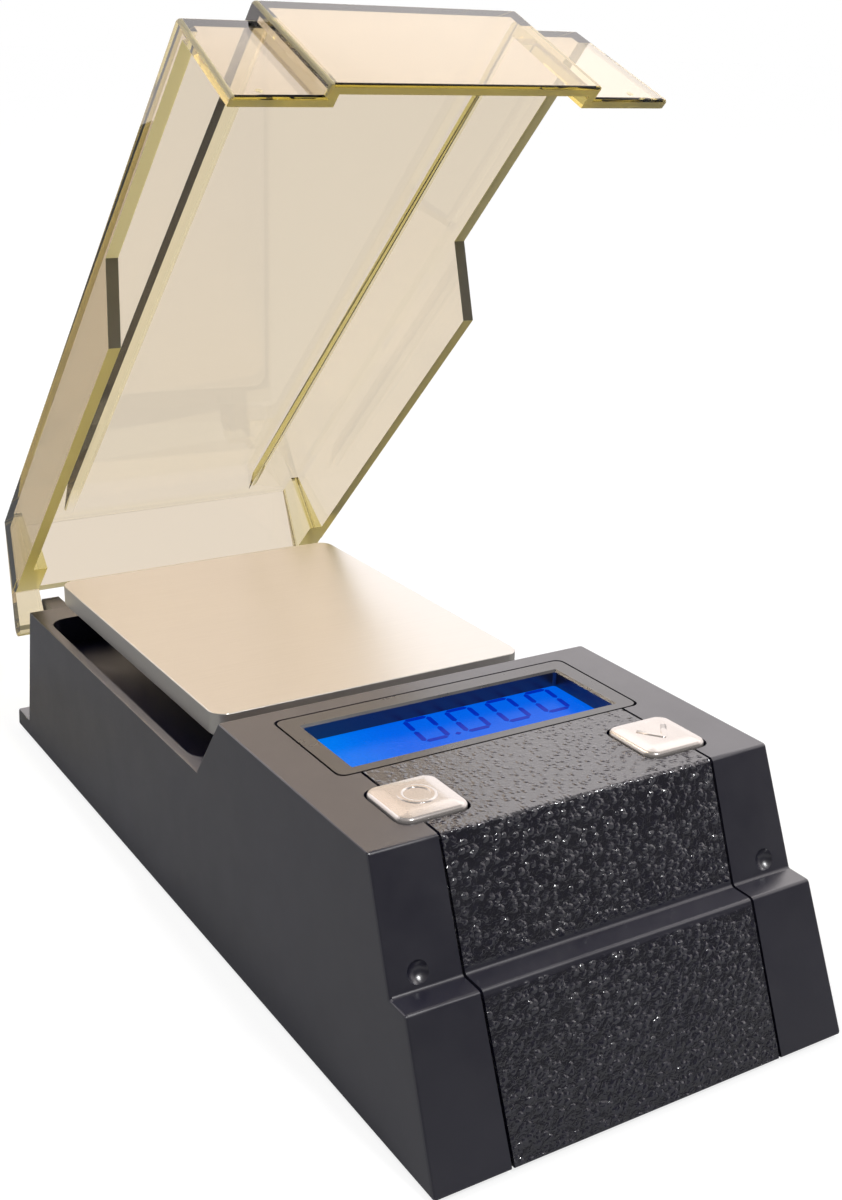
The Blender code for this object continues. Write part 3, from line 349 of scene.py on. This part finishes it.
def lid_look():
    """Clear amber acrylic: frosted cut rims and notch faces with painted olive and dark shade, and light through it
    for the lamps.
    """
    look = Look("amber_acrylic")
    scuffs = look.noise(380.0, 5.0, 0.7, None, 0.8)
    geometry = look.add("ShaderNodeNewGeometry")
    turned = look.add("ShaderNodeVectorTransform", vector_type="NORMAL", convert_from="WORLD", convert_to="OBJECT")
    look.join(geometry.outputs["True Normal"], turned.inputs["Vector"])
    normal = turned.outputs["Vector"]
    notch = look.between(look.dotted(normal, NOTCH_FACING), *FACING_SPAN)
    beyond = look.maths("GREATER_THAN", look.dotted(look.place, RIM_FACING), RIM_REACH)
    rim = look.maths("MULTIPLY", look.between(look.dotted(normal, RIM_FACING), *FACING_SPAN), beyond)
    flat = 0.0
    for facing in WALL_FACINGS:
        flat = look.maths("MAXIMUM", look.maths("ABSOLUTE", look.dotted(normal, facing)), flat)
    edge = look.between(flat, *EDGE_SPAN, EDGE_SHARE, 0.0)
    rim = look.maths("MAXIMUM", rim, edge)
    cut = look.maths("MAXIMUM", notch, rim)
    rough = look.maths("ADD", look.between(scuffs, 0.45, 0.75, 0.015, 0.05), look.maths("MULTIPLY", cut, 0.35))
    # Painted shade: the notch faces, cut rims and edge fillets are coloured dark and olive; the acrylic itself has one
    # amber colour.
    amber_and_painted_shade = look.blended(notch, look.blended(rim, LID_TINT, RIM_PAINTED_SHADE), NOTCH_PAINTED_SHADE)
    ripple = look.bumps(look.noise(55.0, 2.0), 0.05 * MM, 0.12)
    glass = look.add("ShaderNodeBsdfPrincipled")
    look.join(amber_and_painted_shade, glass.inputs["Base Color"])
    # Cut faces let less light through, so that their painted shade shows.
    look.join(look.between(cut, 0.0, 1.0, 1.0, RIM_CLEAR), glass.inputs["Transmission Weight"])
    glass.inputs["IOR"].default_value = 1.49
    look.join(rough, glass.inputs["Roughness"])
    look.join(ripple, glass.inputs["Normal"])
    clear = look.add("ShaderNodeBsdfTransparent")
    clear.inputs["Color"].default_value = LID_SHADOW
    rays = look.add("ShaderNodeLightPath")
    mixed = look.add("ShaderNodeMixShader")
    look.join(rays.outputs["Is Shadow Ray"], mixed.inputs["Fac"])
    look.join(glass.outputs["BSDF"], mixed.inputs[1])
    look.join(clear.outputs["BSDF"], mixed.inputs[2])
    look.join(mixed.outputs["Shader"], look.output.inputs["Surface"])
    depth = look.add("ShaderNodeVolumeAbsorption")
    depth.inputs["Color"].default_value = LID_DEPTH_COLOUR
    depth.inputs["Density"].default_value = LID_DENSITY
    look.join(depth.outputs["Volume"], look.output.inputs["Volume"])
    return look.material


def display_look():
    """Backlit blue display, a little paler at its left end where the lamp sits."""
    look = Look("lit_display")
    across, _, _ = look.axes()
    near_lamp = look.between(across, -20.0 * MM, -8.0 * MM, 1.0, 0.0)
    cloud = look.maths("MULTIPLY", near_lamp, look.between(look.noise(90.0, 2.0), 0.2, 0.8, 0.35, 0.8))
    glow = look.blended(cloud, linear(0, 98, 230), linear(0, 138, 246))
    dots = look.between(look.noise(2600.0, 1.0), 0.35, 0.65, 0.94, 1.0)
    rough = look.between(look.noise(200.0, 3.0), 0.3, 0.7, 0.20, 0.30)
    look.shader(
        Base_Color=linear(0, 16, 50),
        Roughness=rough,
        Specular_IOR_Level=0.05,
        Emission_Color=glow,
        Emission_Strength=dots,
    )
    return look.material


def digit_look():
    """The display's segments: a darker blue that the backlight still shows through."""
    look = Look("display_digits")
    glow = look.blended(look.noise(700.0, 2.0), linear(0, 34, 168), linear(0, 46, 186))
    rough = look.between(look.noise(200.0, 3.0), 0.3, 0.7, 0.20, 0.30)
    look.shader(
        Base_Color=linear(0, 8, 34),
        Roughness=rough,
        Specular_IOR_Level=0.05,
        Emission_Color=glow,
        Emission_Strength=1.0,
    )
    return look.material


def key_look():
    """Silver-painted keys, faintly warm, with worn tops."""
    look = Look("silver_key_paint")
    worn = look.noise(150.0, 2.0, 0.5)
    tone = look.blended(worn, linear(198, 190, 185), linear(214, 208, 204))
    rough = look.between(worn, 0.3, 0.7, 0.20, 0.27)
    look.shader(
        Base_Color=tone,
        Metallic=0.75,
        Roughness=rough,
        IOR=1.5,
        Coat_Weight=0.4,
        Coat_Roughness=0.10,
        Normal=look.bumps(worn, 0.004 * MM, 0.1),
    )
    return look.material


def metal_look(name, low, high, scale, rough_low, rough_high, streaks=(1.0, 1.0, 1.0), relief=0.01):
    """Bare metal with fine tool marks."""
    look = Look(name)
    marks = look.noise(scale, 4.0, 0.6, look.stretched(streaks))
    tone = look.blended(marks, low, high)
    rough = look.between(marks, 0.3, 0.7, rough_low, rough_high)
    look.shader(Base_Color=tone, Metallic=1.0, Roughness=rough, Normal=look.bumps(marks, relief * MM, 0.4))
    return look.material


def dull_look(name, low, high, scale, rough_low, rough_high, relief=0.02, specular=0.5):
    """Rubber, card or moulded plastic: two close tones and a fine bump."""
    look = Look(name)
    mottle = look.noise(scale, 4.0, 0.6)
    fine = look.noise(scale * 6.0, 2.0)
    tone = look.blended(mottle, low, high)
    rough = look.between(mottle, 0.3, 0.7, rough_low, rough_high)
    look.shader(
        Base_Color=tone,
        Roughness=rough,
        Specular_IOR_Level=specular,
        Normal=look.bumps(fine, relief * MM, 0.5),
    )
    return look.material


def board_look():
    """Green solder mask over copper tracks."""
    look = Look("board_green_mask")
    tracks = look.cells(420.0, None, "DISTANCE_TO_EDGE")
    copper = look.between(tracks, 0.04, 0.07, 1.0, 0.0)
    mask = look.blended(look.noise(200.0, 2.0), linear(12, 74, 40), linear(18, 88, 50))
    tone = look.blended(copper, mask, linear(46, 118, 62))
    rough = look.between(look.noise(900.0, 3.0), 0.3, 0.7, 0.28, 0.42)
    look.shader(Base_Color=tone, Roughness=rough, Normal=look.bumps(copper, 0.03 * MM, 0.6))
    return look.material


def battery_look():
    """A cell's printed sleeve: plain graphite with a copper band at one end, and no words."""
    look = Look("battery_sleeve")
    across, _, _ = look.axes()
    band = look.between(look.maths("ABSOLUTE", across), 15.0 * MM, 15.2 * MM, 0.0, 1.0)
    body = look.blended(look.noise(300.0, 3.0), linear(30, 31, 34), linear(40, 41, 45))
    tone = look.blended(band, body, linear(176, 112, 62))
    rough = look.between(look.noise(500.0, 3.0), 0.3, 0.7, 0.24, 0.34)
    look.shader(Base_Color=tone, Metallic=0.35, Roughness=rough, Normal=look.bumps(look.noise(900.0), 0.01 * MM, 0.3))
    return look.material


def floor_look():
    """A pale floor that keeps the object's shadow, reads white from above and is clear from below."""
    look = Look("studio_floor")
    paper = look.add("ShaderNodeBsdfDiffuse")
    paper.inputs["Color"].default_value = FLOOR_COLOUR
    lift = look.add("ShaderNodeEmission")
    rays = look.add("ShaderNodeLightPath")
    seen = look.maths("MAXIMUM", rays.outputs["Is Camera Ray"], rays.outputs["Is Transmission Ray"])
    look.join(look.maths("MULTIPLY", seen, FLOOR_LIFT), lift.inputs["Strength"])
    both = look.add("ShaderNodeAddShader")
    look.join(paper.outputs["BSDF"], both.inputs[0])
    look.join(lift.outputs["Emission"], both.inputs[1])
    from_below = look.maths("GREATER_THAN", rays.outputs["Transparent Depth"], 0.5)
    below = look.maths("MAXIMUM", look.add("ShaderNodeNewGeometry").outputs["Backfacing"], from_below)
    open_side = look.add("ShaderNodeBsdfTransparent")
    one_sided = look.add("ShaderNodeMixShader")
    look.join(below, one_sided.inputs["Fac"])
    look.join(both.outputs["Shader"], one_sided.inputs[1])
    look.join(open_side.outputs["BSDF"], one_sided.inputs[2])
    look.join(one_sided.outputs["Shader"], look.output.inputs["Surface"])
    return look.material


def soften(node):
    """Smooth normals across the carried-over node's shallow edges. Its vertices stay as they are."""
    mesh = node.data
    count = len(mesh.loops)
    corners = np.empty(count, dtype=np.int64)
    mesh.loops.foreach_get("vertex_index", corners)
    places = np.empty(len(mesh.vertices) * 3)
    mesh.vertices.foreach_get("co", places)
    places = places.reshape(-1, 3)
    grid = np.round(places[corners] / MERGE_STEP).astype(np.int64)
    _, shared = np.unique(grid, axis=0, return_inverse=True)
    shared = shared.reshape(-1)
    face_of = np.empty(count, dtype=np.int64)
    faces = np.empty((len(mesh.polygons), 3))
    areas = np.empty(len(mesh.polygons))
    for polygon in mesh.polygons:
        face_of[polygon.loop_start:polygon.loop_start + polygon.loop_total] = polygon.index
        faces[polygon.index] = polygon.normal
        areas[polygon.index] = polygon.area
    order = np.argsort(shared, kind="stable")
    starts = np.searchsorted(shared[order], np.arange(shared.max() + 2))
    limit = math.cos(math.radians(SMOOTH_ANGLE))
    normals = np.empty((count, 3))
    for group in range(len(starts) - 1):
        loops = order[starts[group]:starts[group + 1]]
        own = faces[face_of[loops]]
        weight = areas[face_of[loops]]
        close = (own @ own.T) >= limit
        summed = close.astype(float) @ (own * weight[:, None])
        length = np.linalg.norm(summed, axis=1)
        length[length == 0.0] = 1.0
        normals[loops] = summed / length[:, None]
    for polygon in mesh.polygons:
        polygon.use_smooth = True
    mesh.normals_split_custom_set([tuple(normal) for normal in normals])


def dressed(node, material):
    """Gives a carried-over node its material and smooth normals."""
    for slot in node.material_slots:
        slot.material = material
    soften(node)


def made(name, grid, material, smooth=True):
    """A mesh object from a bmesh, which it uses up."""
    mesh = bpy.data.meshes.new(name)
    bmesh.ops.recalc_face_normals(grid, faces=grid.faces)
    grid.to_mesh(mesh)
    grid.free()
    for polygon in mesh.polygons:
        polygon.use_smooth = smooth
    mesh.materials.append(material)
    thing = bpy.data.objects.new(name, mesh)
    bpy.context.scene.collection.objects.link(thing)
    return thing


def rounded_square(half, corner, steps):
    """Points round a square with rounded corners."""
    points = []
    for quarter in range(4):
        start = quarter * math.pi / 2
        middle = Vector((math.cos(start) - math.sin(start), math.sin(start) + math.cos(start))) * (half - corner)
        for step in range(steps + 1):
            angle = start + math.pi / 2 * step / steps
            points.append(middle + Vector((math.cos(angle), math.sin(angle))) * corner)
    return points


def key_body(grid, place, bottom):
    """A pillow-shaped key: skirt, bright rim, shallow slope and flat middle."""
    rings = [(0.0, bottom)] + [(inset * MM, KEY_TOP + drop * MM) for inset, drop in KEY_PROFILE]
    loops = []
    for inset, height in rings:
        corner = max(KEY_CORNER - inset, 0.25 * MM) + 0.0
        outline = rounded_square(KEY_HALF - inset, corner, KEY_STEPS)
        loops.append([grid.verts.new((place[0] + p.x, place[1] + p.y, height)) for p in outline])
    for lower, upper in zip(loops, loops[1:]):
        for index in range(len(lower)):
            following = (index + 1) % len(lower)
            grid.faces.new((lower[index], lower[following], upper[following], upper[index]))
    grid.faces.new(loops[-1])
    grid.faces.new(list(reversed(loops[0])))


def raised_line(grid, points, closed, height):
    """A low rounded ridge along a line of points, resting on the key's flat top."""
    rows = []
    count = len(points)
    for index, point in enumerate(points):
        before = points[index - 1] if closed or index else point
        after = points[(index + 1) % count] if closed or index < count - 1 else point
        heading = (after - before).normalized()
        aside = Vector((-heading.y, heading.x))
        row = []
        for step in range(ARCH_STEPS + 1):
            angle = math.pi * step / ARCH_STEPS
            offset = aside * math.cos(angle) * SYMBOL_HALF_WIDTH
            rise = math.sin(angle) * SYMBOL_RISE
            row.append(grid.verts.new((point.x + offset.x, point.y + offset.y, height + rise)))
        rows.append(row)
    last = count if closed else count - 1
    for index in range(last):
        first = rows[index]
        second = rows[(index + 1) % count]
        for step in range(ARCH_STEPS):
            grid.faces.new((first[step], first[step + 1], second[step + 1], second[step]))
    if not closed:
        for row in (rows[0], rows[-1]):
            grid.faces.new(row)


def ring_points(place):
    return [
        Vector((place[0] + math.cos(turn) * RING_RADIUS, place[1] + math.sin(turn) * RING_RADIUS))
        for turn in (2 * math.pi * step / RING_STEPS for step in range(RING_STEPS))
    ]


def chevron_points(place):
    """The chevron's line, its point turned in a few short steps."""
    left, tip, right = [Vector((place[0] + x * MM, place[1] + y * MM)) for x, y in CHEVRON]
    share = 0.08
    into = tip.lerp(left, share)
    out = tip.lerp(right, share)
    turn = [into.lerp(tip, step / 4).lerp(tip.lerp(out, step / 4), step / 4) for step in range(5)]
    return [left, left.lerp(tip, 0.5)] + turn + [right.lerp(tip, 0.5), right]


def make_key(side, material):
    """A detailed key that stands for the plain one."""
    node = side + "_button"
    place = KEY_PLACES[side]
    grid = bmesh.new()
    key_body(grid, place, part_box(node)[0][2])
    if side == "left":
        raised_line(grid, ring_points(place), True, KEY_TOP)
    else:
        raised_line(grid, chevron_points(place), False, KEY_TOP)
    key = made(side + "_key", grid, material)
    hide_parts(node)
    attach(key, node)
    return key


def segment(grid, start, end, height, thick, line):
    """One display segment: a bar with pointed ends, laid flat."""
    heading = (end - start).normalized()
    aside = Vector((-heading.y, heading.x)) * line / 2
    tip = heading * line / 2
    outline = [start, start + tip + aside, end - tip + aside, end, end - tip - aside, start + tip - aside]
    leaned = [Vector((point.x + (point.y - DIGIT_FRONT) * DIGIT_SLANT, point.y)) for point in outline]
    low = [grid.verts.new((point.x, point.y, height)) for point in leaned]
    high = [grid.verts.new((point.x, point.y, height + thick)) for point in leaned]
    grid.faces.new(high)
    grid.faces.new(list(reversed(low)))
    for index in range(len(low)):
        following = (index + 1) % len(low)
        grid.faces.new((low[index], low[following], high[following], high[index]))


def zero(grid, left, height):
    """The six lit segments of a zero."""
    right = left + DIGIT_WIDTH
    front = DIGIT_FRONT + DIGIT_LINE / 2
    rear = DIGIT_FRONT + DIGIT_HEIGHT - DIGIT_LINE / 2
    middle = (front + rear) / 2
    inner_left = left + DIGIT_LINE / 2
    inner_right = right - DIGIT_LINE / 2
    gap = DIGIT_GAP / 2
    bars = [
        ((inner_left + gap, rear), (inner_right - gap, rear)),
        ((inner_left + gap, front), (inner_right - gap, front)),
    ]
    for x in (inner_left, inner_right):
        bars.append(((x, front + gap), (x, middle - gap)))
        bars.append(((x, middle + gap), (x, rear - gap)))
    for start, end in bars:
        segment(grid, Vector(start), Vector(end), height, DIGIT_RISE, DIGIT_LINE)


def make_digits(material):
    """The reading 0.000 on the display."""
    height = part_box("lcd_panel")[1][2]
    grid = bmesh.new()
    left = DIGIT_LEFT
    for letter in DIGIT_TEXT:
        if letter == ".":
            place = left - (DIGIT_PITCH - DIGIT_WIDTH) / 2
            dot = DIGIT_LINE * 0.62
            y = DIGIT_FRONT + dot
            segment(grid, Vector((place - dot, y)), Vector((place + dot, y)), height, DIGIT_RISE, DIGIT_LINE)
            continue
        zero(grid, left, height)
        left += DIGIT_PITCH
    digits = made("display_digits", grid, material, False)
    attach(digits, "base")
    return digits


def dress_nodes(nodes):
    """Gives each carried-over node its material."""
    black = cover_look()
    screw = metal_look("zinc_screw", linear(150, 152, 156), linear(205, 206, 210), 900.0, 0.22, 0.40)
    brass = metal_look("nickel_contact", linear(188, 184, 172), linear(222, 218, 206), 700.0, 0.20, 0.34)
    spring = metal_look("spring_wire", linear(150, 150, 152), linear(206, 206, 208), 1500.0, 0.18, 0.30)
    cell = metal_look("milled_aluminium", linear(190, 192, 196), linear(222, 224, 228), 1.0, 0.28, 0.42,
                      (2500.0, 160.0, 160.0), 0.02)
    rubber = dull_look("soft_rubber", linear(20, 20, 21), linear(34, 34, 35), 500.0, 0.72, 0.88, 0.05, 0.3)
    silicone = dull_look("silicone_dome", linear(206, 204, 198), linear(226, 224, 218), 500.0, 0.45, 0.60)
    light_guide = dull_look("white_diffuser", linear(226, 228, 232), linear(244, 246, 248), 300.0, 0.35, 0.50)
    connector = dull_look("zebra_connector", linear(168, 120, 122), linear(60, 56, 58), 900.0, 0.50, 0.65)
    support = dull_look("pan_support_plastic", linear(20, 20, 22), linear(30, 30, 33), 260.0, 0.42, 0.55)
    sheath = dull_look("cable_sheath", linear(172, 30, 26), linear(204, 44, 36), 400.0, 0.40, 0.52)
    sleeve = battery_look()
    board = board_look()
    by_name = {
        "top_housing": case_look(),
        "display_bezel": trim_look(),
        "lid": lid_look(),
        "weighing_pan": pan_look(),
        "lcd_panel": display_look(),
        "base_cover": black,
        "battery_door": black,
        "load_cell": cell,
        "main_board": board,
        "lcd_backlight": light_guide,
        "pan_support": support,
        "load_cell_cable": sheath,
    }
    by_start = {
        "foot": rubber,
        "left_dome": silicone,
        "right_dome": silicone,
        "lcd_connector": connector,
        "battery_spring": spring,
        "battery_link": brass,
        "battery_contact": brass,
        "battery_1": sleeve,
        "battery_2": sleeve,
    }
    for name, node in nodes.items():
        material = by_name.get(name)
        if material is None:
            starts = [value for start, value in by_start.items() if name.startswith(start)]
            material = starts[0] if starts else screw
        dressed(node, material)


def make_floor():
    """The pale floor that the scale stands on."""
    grid = bmesh.new()
    corners = [(-FLOOR_HALF, -FLOOR_HALF), (FLOOR_HALF, -FLOOR_HALF), (FLOOR_HALF, FLOOR_HALF), (-FLOOR_HALF, FLOOR_HALF)]
    grid.faces.new([grid.verts.new((x, y, 0.0)) for x, y in corners])
    floor = made("studio_floor", grid, floor_look(), False)
    return floor


def make_room():
    """Even light all round: white to the camera, and for reflections bright behind and above, dark in front."""
    world = bpy.data.worlds.new("studio_room")
    bpy.context.scene.world = world
    world.use_nodes = True
    tree = world.node_tree
    tree.nodes.clear()

    def maths(operation, first, second):
        node = tree.nodes.new("ShaderNodeMath")
        node.operation = operation
        for value, socket in ((first, node.inputs[0]), (second, node.inputs[1])):
            if isinstance(value, bpy.types.NodeSocket):
                tree.links.new(value, socket)
            else:
                socket.default_value = value
        return node.outputs["Value"]

    def fade(value, edges, low, high):
        node = tree.nodes.new("ShaderNodeMapRange")
        node.clamp = True
        node.inputs["From Min"].default_value = edges[0]
        node.inputs["From Max"].default_value = edges[1]
        node.inputs["To Min"].default_value = low
        node.inputs["To Max"].default_value = high
        tree.links.new(value, node.inputs["Value"])
        return node.outputs["Result"]

    def light(strength, colour=(1.0, 1.0, 1.0, 1.0)):
        node = tree.nodes.new("ShaderNodeBackground")
        node.inputs["Color"].default_value = colour
        if isinstance(strength, bpy.types.NodeSocket):
            tree.links.new(strength, node.inputs["Strength"])
        else:
            node.inputs["Strength"].default_value = strength
        return node.outputs["Background"]

    def mixed(share, first, second):
        node = tree.nodes.new("ShaderNodeMixShader")
        tree.links.new(share, node.inputs["Fac"])
        tree.links.new(first, node.inputs[1])
        tree.links.new(second, node.inputs[2])
        return node.outputs["Shader"]

    rays = tree.nodes.new("ShaderNodeLightPath")
    direction = tree.nodes.new("ShaderNodeTexCoord").outputs["Generated"]
    away = tree.nodes.new("ShaderNodeVectorMath")
    away.operation = "DOT_PRODUCT"
    turn = math.radians(CAMERA_AZIMUTH)
    away.inputs[1].default_value = (math.sin(turn), math.cos(turn), 0.0)
    tree.links.new(direction, away.inputs[0])
    parts = tree.nodes.new("ShaderNodeSeparateXYZ")
    tree.links.new(direction, parts.inputs["Vector"])
    low = fade(parts.outputs["Z"], ROOM_BACK_TOP, 1.0, 0.0)
    crown = fade(parts.outputs["Z"], ROOM_CROWN, 1.0, ROOM_CROWN_GAIN)
    behind = maths("MULTIPLY", fade(away.outputs["Value"], ROOM_BACK, 0.0, ROOM_BRIGHT), maths("MULTIPLY", low, crown))
    above = fade(parts.outputs["Z"], ROOM_TOP, ROOM_DARK, ROOM_ABOVE)
    bounced = maths("GREATER_THAN", rays.outputs["Glossy Depth"], 0.5)
    through = rays.outputs["Is Transmission Ray"]
    mirrored = maths("MAXIMUM", rays.outputs["Is Glossy Ray"], maths("MULTIPLY", through, bounced))
    direct = maths("MULTIPLY", through, maths("SUBTRACT", 1.0, bounced))
    least = maths("MULTIPLY", through, ROOM_THROUGH_LID)
    level = maths("MAXIMUM", maths("MAXIMUM", behind, above), least)
    plain = mixed(mirrored, light(ROOM_LIGHT), light(level, ROOM_WARMTH))
    seen = mixed(maths("MAXIMUM", rays.outputs["Is Camera Ray"], direct), plain, light(1.0))
    output = tree.nodes.new("ShaderNodeOutputWorld")
    tree.links.new(seen, output.inputs["Surface"])


def make_sun():
    """The broad key light."""
    lamp = bpy.data.lights.new("studio_sun", "SUN")
    lamp.energy = SUN_STRENGTH
    lamp.angle = math.radians(SUN_SPREAD)
    thing = bpy.data.objects.new("studio_sun", lamp)
    thing.rotation_euler = [math.radians(turn) for turn in SUN_TURN]
    thing.visible_glossy = False
    bpy.context.scene.collection.objects.link(thing)


def make_front_lamp():
    """A small soft lamp in front that picks out the grain and the keys' rims."""
    lamp = bpy.data.lights.new("front_lamp", "AREA")
    lamp.shape = "DISK"
    lamp.size = FRONT_LAMP_SIZE
    lamp.energy = FRONT_LAMP_POWER
    thing = bpy.data.objects.new("front_lamp", lamp)
    thing.location = FRONT_LAMP_PLACE
    thing.rotation_euler = Vector(FRONT_LAMP_PLACE).to_track_quat("Z", "Y").to_euler()
    bpy.context.scene.collection.objects.link(thing)


def make_camera():
    """The photograph's camera."""
    azimuth = math.radians(CAMERA_AZIMUTH)
    elevation = math.radians(CAMERA_ELEVATION)
    roll = math.radians(CAMERA_ROLL)
    forward = Vector((
        math.sin(azimuth) * math.cos(elevation),
        math.cos(azimuth) * math.cos(elevation),
        math.sin(elevation),
    ))
    level = Vector((math.cos(azimuth), -math.sin(azimuth), 0.0))
    upward = level.cross(forward)
    right = level * math.cos(roll) + upward * math.sin(roll)
    up = upward * math.cos(roll) - level * math.sin(roll)
    lens = bpy.data.cameras.new("photo_camera")
    lens.lens = CAMERA_LENS
    lens.sensor_width = SENSOR_SIZE
    lens.sensor_height = SENSOR_SIZE
    lens.shift_x = CAMERA_SHIFT_X
    lens.shift_y = CAMERA_SHIFT_Y
    lens.clip_start = CAMERA_NEAR
    lens.clip_end = CAMERA_FAR
    camera = bpy.data.objects.new("photo_camera", lens)
    turn = Matrix((right, up, -forward)).transposed().to_4x4()
    camera.matrix_world = Matrix.Translation(CAMERA_PLACE) @ turn
    bpy.context.scene.collection.objects.link(camera)
    bpy.context.scene.camera = camera


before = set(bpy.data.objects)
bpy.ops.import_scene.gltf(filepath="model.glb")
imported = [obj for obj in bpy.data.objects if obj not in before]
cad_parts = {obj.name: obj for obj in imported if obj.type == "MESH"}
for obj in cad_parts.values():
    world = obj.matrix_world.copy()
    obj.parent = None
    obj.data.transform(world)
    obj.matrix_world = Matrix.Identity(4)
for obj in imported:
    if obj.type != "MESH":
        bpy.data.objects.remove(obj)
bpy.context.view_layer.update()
bpy.context.scene.view_settings.view_transform = "Standard"
dress_nodes(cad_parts)
keys = key_look()
make_key("left", keys)
make_key("right", keys)
make_digits(digit_look())
make_floor()
make_room()
make_sun()
make_front_lamp()
make_camera()
bpy.context.view_layer.update()
